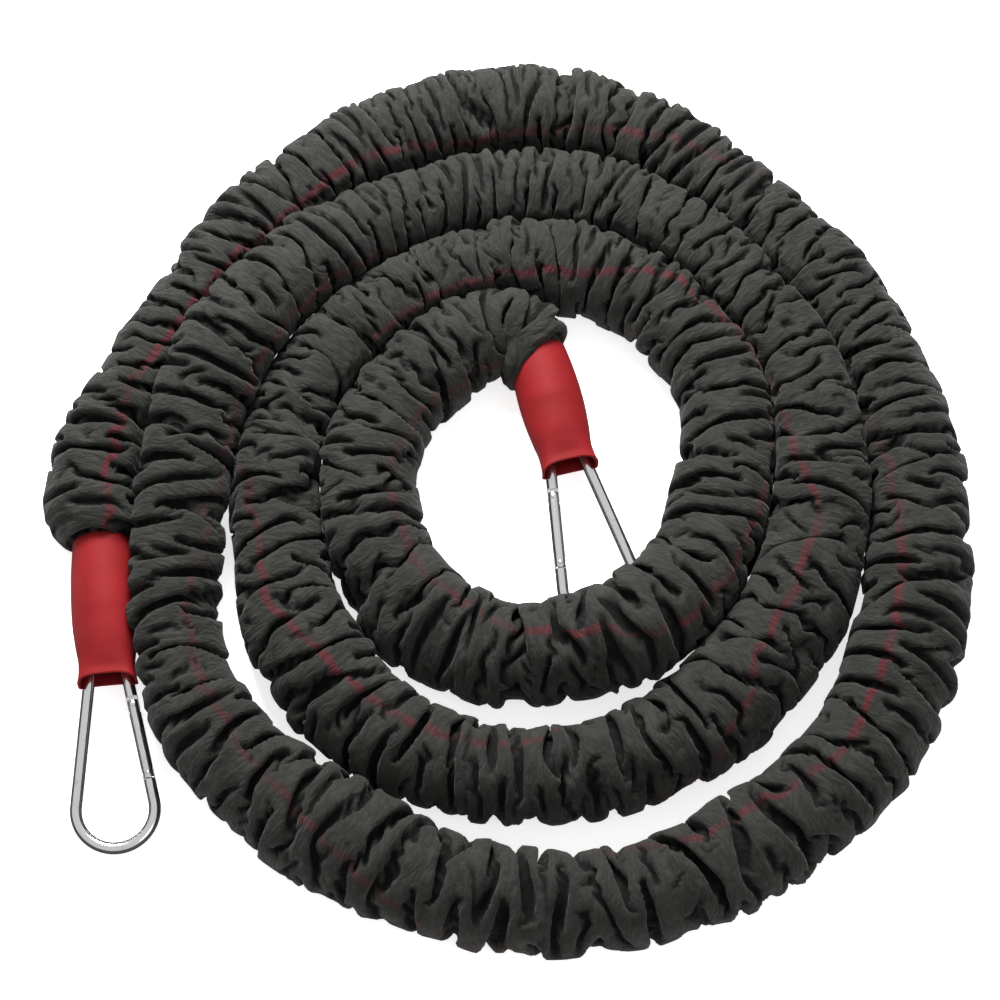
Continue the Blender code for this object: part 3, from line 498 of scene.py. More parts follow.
class Cloth:
    """A lattice of cloth points round the cord: along it, left of it and above it."""

    def __init__(self, points, spacing, girth, bend, inner, table):
        self.points = points
        self.spacing = spacing
        self.girth = girth
        self.bend = bend
        self.inner = inner
        self.table = table
        self.nominal = points[..., 0].mean(axis=1)

    def pull(self, one, other, rest, share, stretch, push_only=False):
        """Moves pairs of points towards their distance in the flat cloth."""
        apart = other - one
        apart[..., 0] *= stretch
        length = np.sqrt(np.einsum("...k,...k->...", apart, apart)) + TINY
        off = (length - rest) / length
        if push_only:
            off = np.minimum(off, 0)
        apart *= (share / 2 * off)[..., None]
        apart[..., 0] /= stretch
        one += apart
        other -= apart

    def pull_along(self, span, share, push_only=False):
        rest = np.convolve(self.spacing, np.ones(span), "valid")
        for first in range(2 * span):
            other = self.points[first + span::2 * span]
            count = len(other)
            one = self.points[first::2 * span][:count]
            stretch = self.stretch[first::2 * span][:count]
            lengths = rest[first::2 * span][:count, None]
            self.pull(one, other, lengths, share, stretch, push_only)

    def pull_around(self, span, share, push_only=False):
        columns = self.points.shape[1]
        rest = (self.girth * span / columns)[:, None]
        for first in range(2 * span):
            here = np.arange(first, columns, 2 * span)
            there = (here + span) % columns
            one, other = self.points[:, here], self.points[:, there]
            self.pull(one, other, rest, share, self.stretch[:, here], push_only)
            self.points[:, here] = one
            self.points[:, there] = other

    def pull_slanted(self, share):
        """Holds the lattice's squares against shear."""
        side = self.girth[:-1] / self.points.shape[1]
        rest = np.hypot(self.spacing, side)[:, None]
        for turn in (1, -1):
            apart = np.roll(self.points[1:], -turn, axis=1) - self.points[:-1]
            apart[..., 0] *= self.stretch[:-1]
            length = np.sqrt(np.einsum("...k,...k->...", apart, apart)) + TINY
            apart *= (share / 4 * (length - rest) / length)[..., None]
            apart[..., 0] /= self.stretch[:-1]
            self.points[:-1] += apart
            self.points[1:] -= np.roll(apart, turn, axis=1)

    def keep_in_room(self, pressure):
        """Puffs the cloth out, then holds it between the core and what lies round it."""
        y, z = self.points[..., 1], self.points[..., 2]
        radius = np.hypot(y, z)
        turn = np.arctan2(z, y) * (ROOM_BINS / math.tau)
        cell = np.rint(turn).astype(int) % ROOM_BINS
        rows = np.arange(len(y))[:, None]
        kept = np.clip(radius + pressure, self.inner[:, None], self.table[rows, cell])
        self.points[..., 1:] *= (kept / radius)[..., None]
        here = slice(0, END_ROWS)
        wide, over = kept[here] - RIM_CLEARANCE, np.maximum(z[here], 0) / kept[here]
        start = SLEEVE_ENDS["outer"] / MM - RIM_OVERLAP * over + FLARE_SLOPE * np.maximum(wide, 0)
        along = self.points[here, :, 0]
        self.points[here, :, 0] = np.where(wide > -EDGE_REACH, np.maximum(along, start), along)
        here = slice(-END_ROWS, None)
        wide, over = kept[here] - HOOD_CLEARANCE, (1 - y[here] / kept[here]) / 2
        stop = (self.nominal[-1] - SLEEVE_ENDS["inner"] / MM + HOOD_OVERLAP * over
                - HOOD_SLOPE * np.maximum(wide, 0))
        along = self.points[here, :, 0]
        self.points[here, :, 0] = np.where(wide > -EDGE_REACH, np.minimum(along, stop), along)

    def settle(self, rounds, start, pressure, bend_share, shear_share):
        """Lets the cloth lengthen from its starting share and fold."""
        full = self.spacing
        ends = self.points[[0, -1]].copy()
        for index in range(rounds):
            grown = min(1, (index + 1) / (rounds * GROWING_SHARE))
            self.spacing = full * (start + (1 - start) * grown)
            self.stretch = 1 - self.bend[:, None] * self.points[..., 1]
            self.stretch = np.maximum(self.stretch, LEAST_STRETCH)
            for _ in range(2):
                self.pull_along(1, 1.0)
                self.pull_around(1, 1.0)
            self.pull_along(2, bend_share, True)
            self.pull_around(2, bend_share, True)
            self.pull_slanted(shear_share)
            self.keep_in_room(pressure)
            self.points[[0, -1]] = ends
        self.spacing = full


def finer(points):
    """The same cloth with a new point halfway between each pair, on a smooth curve."""
    rows, columns, _ = points.shape
    before = np.concatenate([2 * points[:1] - points[1:2], points[:-2]])
    after = np.concatenate([points[2:], 2 * points[-1:] - points[-2:-1]])
    middle = (9 * (points[:-1] + points[1:]) - before - after) / 16
    closer = np.empty((2 * rows - 1, columns, 3))
    closer[0::2], closer[1::2] = points, middle
    left, right = np.roll(closer, -1, axis=1), np.roll(closer, -2, axis=1)
    halfway = (9 * (closer + left) - np.roll(closer, 1, axis=1) - right) / 16
    return np.stack([closer, halfway], axis=2).reshape(2 * rows - 1, 2 * columns, 3)


def woven_sleeve(places, line):
    """Lays the cloth on the core and lets it gather, first in large folds and then in small."""
    random = np.random.default_rng(SEED)
    length = places[-1]
    ahead, left, up = directions(line)
    turn = np.gradient(ahead, axis=0) / PATH_STEP * MM
    bend_by_place = np.einsum("ij,ij->i", turn, left)
    bumps = soft_noise(len(places), ROOM_BINS, *BUMP_WAVES, random)
    bumps = BUMP_DEPTH - BUMP_SPREAD * np.tanh(BUMP_EDGE * bumps)
    room = room_round(places, line)
    plump = np.interp(clocks_along(line), LOOK_CLOCKS, LOOK_PLUMPNESS)
    room = np.minimum(room, (FULL_RADIUS + plump)[:, None])
    table = room - bumps * rise((room - plump[:, None] - CLOTH_RADIUS) / BUMP_RISE)

    fine = np.linspace(0, length, FINE_PLACES * len(places))
    pinch = soft_noise(len(fine), ROOM_BINS, *PINCH_WAVES, random)
    uneven = soft_noise(len(fine), ROOM_BINS, *UNEVEN_WAVES, random)
    uneven = UNEVEN_MIDDLE + UNEVEN_SPREAD * np.tanh(UNEVEN_EDGE * uneven)
    pinch = PINCH_DEPTH * uneven * np.exp(-(pinch / PINCH_WIDTH) ** 2)
    gather = gather_share(fine, length)
    north = np.interp(fine, places, line[:, 1] - line[:, 1].mean()) / NORTH_SPAN
    step = step_share(fine, north) * COARSE_STEP
    count = np.r_[0, np.cumsum((gather / step)[1:] * np.diff(fine))]
    rows = int(round(count[-1] / ROW_GROUP)) * ROW_GROUP + 1
    nominal = np.interp(np.linspace(0, count[-1], rows), count, fine)
    columns = int(round(math.tau * CLOTH_RADIUS / COARSE_STEP / ROW_GROUP)) * ROW_GROUP
    spacing = np.interp((nominal[1:] + nominal[:-1]) / 2, fine, step)

    def by_row(values, at):
        return np.interp(at, places, values)

    def conditions(at, slack):
        """Girth, bend, core and room of each row of cloth."""
        body = by_row(body_radius(places, length), at)
        girth = np.minimum(CLOTH_RADIUS, np.maximum(body, LEAST_GIRTH * CLOTH_RADIUS))
        girth = math.tau * (girth + by_row(plump, at)) * slack
        core = NECK_RADIUS - CORE_GIVE + (CORE_RADIUS - NECK_RADIUS + CORE_GIVE) * (
            (body - NECK_RADIUS) / (CLOTH_RADIUS - NECK_RADIUS))
        for past, hold, clearance in zip(past_ends(at, length), (RIM_HOLD, HOOD_HOLD),
                                         (RIM_CLEARANCE, HOOD_CLEARANCE)):
            held = (past > hold[0]) & (past < hold[1])
            core = np.where(held, clearance - HOLD_GAP, core)
        cells = between(places, table, at)
        cells = cells - between(fine, pinch, at) * rise((cells - PINCH_FROM) / PINCH_RISE)
        flare = np.where(body < CLOTH_RADIUS - FLARE_EDGE, body * FLARE_ROOM, WIDEST_RADIUS)
        cells = np.minimum(cells, flare[:, None])
        return girth, by_row(bend_by_place, at), core, cells

    share = COARSE_SHARE - COARSE_NORTH * north
    share = np.interp((nominal[1:] + nominal[:-1]) / 2, fine, share)
    girth, bend, core, cells = conditions(nominal, COARSE_SLACK)
    angles = circle(columns)
    along, around = WAVE_LENGTHS
    waves = soft_noise(rows, columns, along, around / COARSE_STEP, random)
    along, around = LINE_LENGTHS
    lines = soft_noise(rows, columns, along, around / COARSE_STEP, random)
    bins = np.rint(np.arange(columns) * ROOM_BINS / columns).astype(int) % ROOM_BINS
    radius = (girth[:, None] / math.tau - WAVE_DEPTH + WAVE_DEPTH * waves
              - LINE_DEPTH * np.exp(-(lines / LINE_WIDTH) ** 2))
    radius -= between(fine, pinch[:, bins], nominal)
    radius = np.clip(radius, core[:, None], girth[:, None])
    points = np.stack([
        np.repeat(nominal[:, None], columns, axis=1),
        radius * np.cos(angles),
        radius * np.sin(angles)], axis=-1)
    points[[0, -1], :, 1:] *= (NECK_RADIUS - HOLD_GAP) / radius[[0, -1]][..., None]
    past_rim, from_inner = past_ends(nominal, length)
    over = RIM_OVERLAP * np.where(past_rim > RIM_HOLD[0], np.exp(-past_rim / RIM_FADE), 0)
    points[..., 0] -= over[:, None] * np.maximum(np.sin(angles), 0)
    over = HOOD_OVERLAP * np.where(from_inner > HOOD_HOLD[0], np.exp(-from_inner / HOOD_FADE), 0)
    points[..., 0] += over[:, None] * (1 - np.cos(angles)) / 2
    rounds = FULL_ROUNDS
    cloth = Cloth(points, spacing * share, girth, bend, core, cells)
    start = np.diff(nominal) / spacing / share
    cloth.settle(rounds[0], start, *COARSE_HOLD)

    points = finer(cloth.points)
    nominal = np.interp(np.arange(2 * rows - 1) / 2, np.arange(rows), nominal)
    girth, bend, core, cells = conditions(nominal, FINE_SLACK)
    cloth = Cloth(points, np.repeat(spacing / 2, 2), girth, bend, core, cells)
    cloth.settle(rounds[1], np.repeat(share, 2), *FINE_HOLD)
    return cloth


def gather_share(places, length):
    """Cloth per length of core: more where the cord turns sharply into the inner cuff."""
    from_inner = past_ends(places, length)[1]
    slow = np.sin(places / GATHER_WAVES[0]) * np.sin(places / GATHER_WAVES[1] + 1)
    turning = np.exp(-((from_inner - TURN_REACH) / TURN_REACH) ** 2)
    return GATHER * (1 + GATHER_SPREAD * slow) + TURN_GATHER * turning


def step_share(places, north):
    """Width of the lattice's squares: the cloth gathers finer where they are smaller."""
    slow = np.sin(places / STEP_WAVES[0] + 0.6) * np.cos(places / STEP_WAVES[1])
    return STEP_SHARE - STEP_NORTH * north + STEP_SPREAD * slow


def hook_frame(end, raised=0.0):
    """The hook's frame: its origin in the wire of the narrow bend, at rest or raised."""
    place = Matrix.Translation((CUFF_LENGTHS[end] - HOOK_INSET, 0, 0))
    tilt = Matrix.Rotation(HOOK_TILT, 4, "Y")
    flip = Matrix.Rotation(math.pi if FLIPPED[end] else 0, 4, "X")
    return cuff_frame(end) @ place @ Matrix.Rotation(-raised, 4, "Y") @ tilt @ flip


def leg_frame(share):
    """A frame on the hook's gate leg: +X to the nose, +Y out, at a share of the leg."""
    out = Vector((-math.sin(LEG_ANGLE), math.cos(LEG_ANGLE), 0))
    along = Vector((math.cos(LEG_ANGLE), math.sin(LEG_ANGLE), 0))
    place = Vector((NARROW_RADIUS, 0, 0)) + out * NARROW_RADIUS + along * LEG_LENGTH * share
    return Matrix.Translation(place) @ Matrix.Rotation(LEG_ANGLE, 4, "Z")


def arc(radius, first, last, count, centre):
    """Points of an arc in the XY plane, round a centre on the X axis."""
    angles = np.linspace(first, last, count)
    return [(centre + radius * math.cos(a), radius * math.sin(a), 0.0) for a in angles]


def straight(first, last, count):
    """Points of a straight line, with both its ends."""
    return [tuple(point) for point in np.linspace(first, last, count)]


def hook_line(bends, legs):
    """The hook's wire: from its hinge tongue round the narrow and the wide bend to its nose.

    It takes how many points lie on its two bends and on its three straight stretches.
    """
    quarter = math.pi / 2
    narrow = arc(NARROW_RADIUS, quarter + LEG_ANGLE, math.pi + quarter - LEG_ANGLE, bends[0],
                 NARROW_RADIUS)
    wide = arc(WIDE_RADIUS, -quarter - LEG_ANGLE, quarter + LEG_ANGLE, bends[1],
               NARROW_RADIUS + HOOK_CENTRES)
    hinge = tuple(leg_frame(HINGE_SHARE) @ Vector((TONGUE_REACH, 0, 0)))
    nose = tuple(leg_frame(LATCH_SHARE) @ Vector((-NOSE_REACH, 0, 0)))
    return (straight(hinge, narrow[0], legs[0])[:-1] + narrow
            + straight(narrow[-1], wide[0], legs[1])[1:-1] + wide
            + straight(wide[-1], nose, legs[2])[1:])


def hook_points(end, raised):
    """Points on the hook's wire in millimetres, at rest or raised to its limit."""
    place = hook_frame(end, TILT_RANGES[end] * raised)
    return np.array([place @ Vector(p) for p in hook_line(COARSE_BENDS, COARSE_LEGS)]) / MM


class Number:
    """A socket that carries a number. Arithmetic on it adds Math nodes."""

    def __init__(self, look, socket):
        self.look = look
        self.socket = socket

    def math(self, operation, *others):
        return self.look.math(operation, self, *others)

    def __add__(self, other):
        return self.math("ADD", other)

    __radd__ = __add__

    def __sub__(self, other):
        return self.math("SUBTRACT", other)

    def __rsub__(self, other):
        return self.look.math("SUBTRACT", other, self)

    def __mul__(self, other):
        return self.math("MULTIPLY", other)

    __rmul__ = __mul__

    def size(self):
        return self.math("ABSOLUTE")

    def wave(self):
        return self.math("SINE")

    def step(self, low, high):
        """Goes smoothly from 0 to 1 as the number goes from low to high."""
        ramp = self.look.node(
            "ShaderNodeMapRange", {"interpolation_type": "SMOOTHSTEP"},
            {"Value": self, "From Min": low, "From Max": high})
        return Number(self.look, ramp.outputs["Result"])


class Look:
    """A material with one Principled shader, or a world, and the nodes that feed its shader."""

    def __init__(self, name, world=None, **plain):
        self.material = world or bpy.data.materials.new(name)
        self.material.use_nodes = True
        self.tree = self.material.node_tree
        self.shader = self.tree.nodes["Background" if world else "Principled BSDF"]
        for socket, value in plain.items():
            self.shader.inputs[socket.replace("_", " ")].default_value = value

    def give(self, socket, value):
        """Links a value to a socket, or sets it there."""
        if isinstance(value, Number):
            value = value.socket
        if isinstance(value, bpy.types.NodeSocket):
            self.tree.links.new(value, socket)
        elif value is not None:
            socket.default_value = value

    def node(self, kind, settings=None, inputs=None):
        """Adds a node of a type: its settings first, then the values or links of its sockets."""
        made = self.tree.nodes.new(kind)
        for name, value in (settings or {}).items():
            setattr(made, name, value)
        for name, value in (inputs or {}).items():
            self.give(made.inputs[name], value)
        return made

    def math(self, operation, *values):
        made = self.node("ShaderNodeMath", {"operation": operation}, dict(enumerate(values)))
        return Number(self, made.outputs["Value"])

    def number(self, name):
        """A number stored on the mesh."""
        made = self.node("ShaderNodeAttribute", {"attribute_name": name})
        return Number(self, made.outputs["Fac"])

    def place(self, scale=(1, 1, 1), attribute=None):
        """The surface's own coordinates in metres, or a stored place, times a scale."""
        if attribute:
            made = self.node("ShaderNodeAttribute", {"attribute_name": attribute})
            source = made.outputs["Vector"]
        else:
            source = self.node("ShaderNodeTexCoord").outputs["Object"]
        made = self.node("ShaderNodeVectorMath", {"operation": "MULTIPLY"}, {0: source, 1: scale})
        return made.outputs["Vector"]

    def noise(self, place, scale, detail=2.0, roughness=0.5):
        made = self.node("ShaderNodeTexNoise", {}, {
            "Vector": place, "Scale": scale, "Detail": detail, "Roughness": roughness})
        return Number(self, made.outputs["Fac"])

    def mix(self, share, one, other):
        """A colour between two colours."""
        made = self.node("ShaderNodeMix", {"data_type": "RGBA"})
        self.give(made.inputs[0], share)
        self.give(made.inputs[6], one)
        self.give(made.inputs[7], other)
        return made.outputs[2]

    def bump(self, height, distance, strength=1.0, normal=None):
        made = self.node("ShaderNodeBump", {}, {
            "Height": height, "Distance": distance, "Strength": strength, "Normal": normal})
        return made.outputs["Normal"]

    def feed(self, **sockets):
        for name, value in sockets.items():
            self.give(self.shader.inputs[name.replace("_", " ")], value)
        return self.material


def charcoal_fabric():
    """Fine plain-woven polyester, crumpled, with two dull red stripes woven in lengthwise."""
    look = Look("charcoal_fabric", Sheen_Weight=0.08, Sheen_Roughness=0.45,
                Specular_IOR_Level=0.2)
    weave = look.place(attribute="weave")
    parts = look.node("ShaderNodeSeparateXYZ", {}, {0: weave})
    along, around = Number(look, parts.outputs["X"]), Number(look, parts.outputs["Y"])
    turns = math.tau / THREAD_PITCH
    threads = (along * turns).wave() * (around * turns).wave()
    worn = look.noise(weave, 0.07, 3.0, 0.6)
    fine = look.noise(weave, 1.7, 2.0, 0.6)
    crumple = (look.noise(look.place((0.26, 0.085, 1), "weave"), 1.0, 3.0, 0.5) - 0.5).size()
    wrinkle = look.noise(look.place((0.50, 0.50, 1), "weave"), 1.0, 2.0, 0.6)
    # Painted shade: the colour darkens deep between the folds and in sharp creases
    crease_shade = look.number("crease_shade")
    # Painted shade: the tone is a little darker in the wrinkles' low parts and up to a third darker
    # along the crumple lines
    tone = 0.42 + worn * 0.40 + fine * 0.62 + wrinkle * 0.12 + threads * 0.08
    tone = tone * (1 - crease_shade * 0.96) * (0.70 + crumple.step(0.0, 0.06) * 0.30)
    charcoal = look.mix(worn.step(0.35, 0.7), CHARCOAL, WORN_CHARCOAL)
    edge = look.noise(weave, 0.7, 1.0)
    stripe = 1 - (look.number("stripe").size() + edge * 1.4).step(*STRIPE_EDGES)
    kept = look.noise(weave, 0.045, 2.0, 0.6).step(0.36, 0.54) * 0.65 + 0.35
    mask = stripe * kept * look.number("dye")
    cloth = look.mix(mask, charcoal, STRIPE_RED)
    shade = look.node("ShaderNodeVectorMath", {"operation": "SCALE"}, {0: cloth, "Scale": tone})
    height = look.bump(crumple, 0.0045, 0.6)
    height = look.bump(wrinkle, 0.0004, 0.6, height)
    normal = look.bump(threads, 0.00006, 0.35, height)
    return look.feed(Base_Color=shade.outputs["Vector"], Roughness=0.80 + fine * 0.14,
                     Normal=normal)


def red_rubber():
    """Matt moulded rubber with a fine grain, scuffed a little paler in places."""
    look = Look("red_rubber", Specular_IOR_Level=0.16)
    place = look.place()
    broad = look.noise(place, 55, 3.0, 0.55)
    grain = look.noise(place, 2600, 2.0, 0.6)
    scuff = look.noise(look.place((1, 1, 0.4)), 420, 4.0, 0.65).step(0.60, 0.78)
    colour = look.mix(broad.step(0.25, 0.8), DEEP_RED, BRIGHT_RED)
    colour = look.mix(scuff * 0.15, colour, SCUFFED_RED)
    normal = look.bump(grain, 0.00008, 0.5, look.bump(broad, 0.0012, 0.25))
    return look.feed(Base_Color=colour, Roughness=0.60 + broad * 0.16 + scuff * 0.12, Normal=normal)


def polished_steel(name, shine):
    """Plated steel wire, with faint drawn lines and the small dulled marks of use."""
    look = Look(name, Metallic=1.0)
    place = look.place()
    lines = look.noise(place, 900, 3.0, 0.6)
    dull = look.noise(place, 160, 4.0, 0.65).step(0.52, 0.78)
    specks = look.noise(place, 1500, 2.0, 0.7).step(0.66, 0.80)
    colour = look.mix(dull * 0.5 + specks * 0.4, BRIGHT_STEEL, DULL_STEEL)
    normal = look.bump(lines, 0.00003, 0.35)
    return look.feed(Base_Color=colour, Roughness=shine + lines * 0.05 + dull * 0.12, Normal=normal)


def moulded_nylon():
    """Black moulded nylon, worn a little grey."""
    look = Look("moulded_nylon", Specular_IOR_Level=0.4)
    grain = look.noise(look.place(), 1800, 2.0, 0.6)
    worn = look.noise(look.place(), 130, 3.0, 0.6)
    colour = look.mix(worn, NYLON_BLACK, WORN_NYLON)
    return look.feed(Base_Color=colour, Roughness=0.42 + worn * 0.2,
                     Normal=look.bump(grain, 0.00006, 0.4))


def natural_latex():
    """Tan rubber strand, dusted with talc."""
    look = Look("natural_latex", Specular_IOR_Level=0.4)
    worn = look.noise(look.place(), 60, 3.0, 0.6)
    talc = look.noise(look.place(), 900, 3.0, 0.7)
    colour = look.mix(talc.step(0.45, 0.8) * 0.5, LATEX_TAN, TALC_TAN)
    return look.feed(Base_Color=colour, Roughness=0.5 + worn * 0.2,
                     Normal=look.bump(talc, 0.00005, 0.4))


def braided_cord():
    """Black cord braided from fine strands."""
    look = Look("braided_cord", Roughness=0.8, Sheen_Weight=0.15)
    place = look.place((900, 900, 900))
    parts = look.node("ShaderNodeSeparateXYZ", {}, {0: place})
    x, y, z = (Number(look, parts.outputs[axis]) for axis in "XYZ")
    strands = ((x + z * 2).wave() * (y - z * 2).wave()).size()
    colour = look.mix(strands, BRAID_BLACK, BRAID_GREY)
    return look.feed(Base_Color=colour, Normal=look.bump(strands, 0.0001, 0.6))


def pale_floor():
    """A white light table. Shiny things mirror it as a dark one, so that their edges show."""
    look = Look("pale_floor", Roughness=0.9, Specular_IOR_Level=0.1, Emission_Strength=0.72)
    grain = look.noise(look.place(), 30, 2.0)
    mirrored = look.node("ShaderNodeLightPath").outputs["Is Glossy Ray"]
    return look.feed(Base_Color=look.mix(mirrored, look.mix(grain, *FLOOR_WHITES), MIRRORED_FLOOR),
                     Emission_Color=look.mix(mirrored, WHITE, MIRRORED_FLOOR))


def shaped(name, points, faces):
    """A mesh of points and faces."""
    mesh = bpy.data.meshes.new(name)
    mesh.from_pydata([tuple(point) for point in points], [], faces)
    return mesh


def shown(name, data):
    """A new object in the scene."""
    thing = bpy.data.objects.new(name, data)
    bpy.context.scene.collection.objects.link(thing)
    return thing


def piece(name, points, faces, look, body, node, numbers=None):
    """A shown piece: its mesh, its material, the body it rides on and the node it replaces."""
    mesh = shaped(name, points, faces)
    shell = bmesh.new()
    shell.from_mesh(mesh)
    bmesh.ops.recalc_face_normals(shell, faces=shell.faces)
    shell.to_mesh(mesh)
    shell.free()
    mesh.shade_smooth()
    mesh.materials.append(look)
    thing = shown(name, mesh)
    for key, values in (numbers or {}).items():
        values = np.asarray(values, np.float32)
        kind = "FLOAT" if values.ndim == 1 else "FLOAT_VECTOR"
        stored = mesh.attributes.new(key, kind, "POINT")
        stored.data.foreach_set("value" if kind == "FLOAT" else "vector", values.ravel())
    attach(thing, body)
    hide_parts(node)
    return thing


def tube_faces(rings, sides, closed=False):
    """Faces of a tube of equal rings, with its ends capped or its last ring joined to the first."""
    faces = []
    for ring in range(rings if closed else rings - 1):
        here, there = ring * sides, (ring + 1) % rings * sides
        for side in range(sides):
            other = (side + 1) % sides
            faces.append((here + side, here + other, there + other, there + side))
    if not closed:
        faces.append(tuple(reversed(range(sides))))
        faces.append(tuple(range((rings - 1) * sides, rings * sides)))
    return faces


def sleeve(places, line, look):
    """The gathered sleeve, led along the route."""
    cloth = woven_sleeve(places / MM, line / MM)
    local = cloth.points
    rows, columns, _ = local.shape
    ahead, left, up = directions(line)
    at = np.clip(local[..., 0] * MM, 0, places[-1])
    points = (between(places, line, at) + between(places, left, at) * local[..., 1:2] * MM
              + between(places, up, at) * local[..., 2:] * MM)
    points[..., 2] = np.maximum(points[..., 2], LOWEST_CLOTH)

    width = cloth.girth[:, None] / columns
    along = np.r_[0, np.cumsum(cloth.spacing)]
    column = np.arange(columns)
    way = np.array(STRIPE_WAY)
    stripe_angle = np.interp(cloth.nominal, way[:, 0], way[:, 1])
    dye = np.interp(cloth.nominal, way[:, 0], way[:, 2])
    off = (column[None] * 360 / columns - stripe_angle[:, None] + 90) % 180 - 90
    stripe = off / 360 * columns * width
    weave = np.stack([np.repeat(along[:, None], columns, axis=1),
                      column[None] * width, np.zeros((rows, columns))], axis=-1)
    radius = np.hypot(local[..., 1], local[..., 2])
    numbers = {
        "stripe": stripe.ravel(),
        "dye": np.repeat(dye[:, None], columns, axis=1).ravel(),
        "weave": weave.reshape(-1, 3),
        # Painted shade between the folds and in creases, for the fabric's colour
        "crease_shade": painted_crease_shade(radius).ravel(),
    }
    thing = piece("gathered_sleeve", points.reshape(-1, 3), tube_faces(rows, columns), look,
                  "trainer", "sleeve", numbers)


def core_strands(line, look):
    """The rubber strands, led inside the soft sleeve from one plug's sockets to the other's."""
    ahead, left, up = directions(line)
    for index, place in enumerate(STRAND_ANGLES):
        middle = line + STRAND_OFFSET * (math.sin(place) * up - math.cos(place) * left)
        middle = np.vstack([middle[0] - ahead[0] * SOCKET_DEPTH, middle,
                            middle[-1] + ahead[-1] * SOCKET_DEPTH])
        aside, above = (np.vstack([way[:1], way, way[-1:]]) for way in (left, up))
        rings = middle[:, None] + STRAND_RADIUS * ring_directions(STRAND_SIDES, aside, above)
        piece(f"round_strand_{index + 1}", rings.reshape(-1, 3),
              tube_faces(len(rings), STRAND_SIDES), look, "trainer", f"core_strand_{index + 1}")


def softened(values, rounds):
    """The values, each shared out among its neighbours a number of times."""
    for _ in range(rounds):
        wide = np.pad(values, ((1, 1), (0, 0)), "edge")
        values = (wide[:-2] + wide[2:] + 2 * wide[1:-1]) / 4
        values = (np.roll(values, 1, axis=1) + np.roll(values, -1, axis=1) + 2 * values) / 4
    return values


def painted_crease_shade(radius):
    """Painted shade: from 0 on the folds' tops to 1 deep between them and in sharp creases."""
    depths = [weight * rise((softened(radius, rounds) - radius + shift) / span)
              for rounds, shift, span, weight in CREASE_SHADE_MEASURES]
    return np.clip(sum(depths), 0, 1)


def cuff(end, look):
    """The rubber cuff: a soft belly, a waist and a flattened mouth with a rounded lip."""
    length = CUFF_LENGTHS[end]
    start = length - CUFF_TAPER
    stations = [(0.0, RIM_RADIUS, RIM_RADIUS, 2.0)]
    stations += [(start * place, COLLAR_RADIUS * width, COLLAR_RADIUS * width, 2.0)
                 for place, width in zip(BELLY_PLACE_SHARES, BELLY_WIDTH_SHARES)]
    stations += [(start + CUFF_TAPER * place, BELLY_RADIUS * width, BELLY_RADIUS * height, square)
                 for place, width, height, square in zip(
                     TAPER_PLACE_SHARES, TAPER_WIDTH_SHARES, TAPER_HEIGHT_SHARES, TAPER_ROUNDNESS)]
    stations = smooth(np.array(stations), CUFF_STEPS)
    wall = CUFF_WALL
    lip = [(math.cos(a) * wall / 2, wall / 2 - math.sin(a) * wall / 2)
           for a in np.linspace(math.pi / 2, -math.pi / 2, LIP_POINTS)]
    last, first = stations[-1], stations[0]
    mouth = [(last[0] - wall / 2 + x, last[1] - d, last[2] - d, last[3]) for x, d in lip]
    rim = [(first[0] + wall / 2 - x, first[1] - d, first[2] - d, 2.0) for x, d in reversed(lip)]
    outside = [tuple(s) for s in stations if wall / 2 < s[0] < last[0] - wall / 2]
    inside = [(x, w - wall, h - wall, n) for x, w, h, n in reversed(outside)]
    rings = outside + mouth + inside + rim
    points = []
    place = cuff_frame(end)
    for x, w, h, n in rings:
        near_mouth = rise((x - length + MOUTH_LENGTH) / MOUTH_LENGTH)
        for side in range(CUFF_SIDES):
            angle = math.tau * side / CUFF_SIDES
            across, upward = math.cos(angle), math.sin(angle)
            y = w * math.copysign(abs(across) ** (2 / n), across)
            z = h * math.copysign(abs(upward) ** (2 / n), upward)
            back = MOUTH_HOLLOW * near_mouth * abs(upward) ** MOUTH_CURVE
            points.append(place @ Vector((x - back, y, z)))
    piece(f"{end}_rubber_cuff", points, tube_faces(len(rings), CUFF_SIDES, closed=True), look,
          "trainer", f"{end}_cuff")


def swept(line, radius, sides):
    """Points of a round bar along a line in the XY plane."""
    line = np.array(line)
    ahead = np.gradient(line, axis=0)
    ahead /= np.linalg.norm(ahead, axis=1)[:, None]
    across = np.cross(ahead, (0, 0, 1))
    angles = circle(sides)
    rings = (line[:, None] + radius * np.cos(angles)[None, :, None] * across[:, None]
             + radius * np.sin(angles)[None, :, None] * np.array((0, 0, 1)))
    return rings.reshape(-1, 3)


def box(low, high):
    """Corners and faces of a box between two corners."""
    (x, y, bottom), (far, deep, top) = low, high
    corners = [(*corner, z) for z in (bottom, top)
               for corner in ((x, y), (far, y), (far, deep), (x, deep))]
    return corners, tube_faces(2, 4)


def carve(thing, cutters, place):
    """Takes closed shapes out of a piece, each given by its corners and faces."""
    for corners, faces in cutters:
        corners = [place @ Vector(corner) for corner in corners]
        cutter = shown("cutter", shaped("cutter", corners, faces))
        step = thing.modifiers.new("cut", "BOOLEAN")
        step.operation = "DIFFERENCE"
        step.solver = "EXACT"
        step.object = cutter
        shape = thing.evaluated_get(bpy.context.evaluated_depsgraph_get())
        cut = bpy.data.meshes.new_from_object(shape)
        thing.modifiers.clear()
        thing.data = cut
        bpy.data.objects.remove(cutter, do_unlink=True)
    thing.data.shade_smooth()
    thing.data.set_sharp_from_angle(angle=SHARP_EDGE)


def tongue_cutters(start, stop):
    """Two boxes that leave a flat tongue in the middle of the wire."""
    out = WIRE_RADIUS + OVERRUN
    half = TONGUE_THICKNESS / 2
    return [box((start, -out, half), (stop, out, out)),
            box((start, -out, -out), (stop, out, -half))]


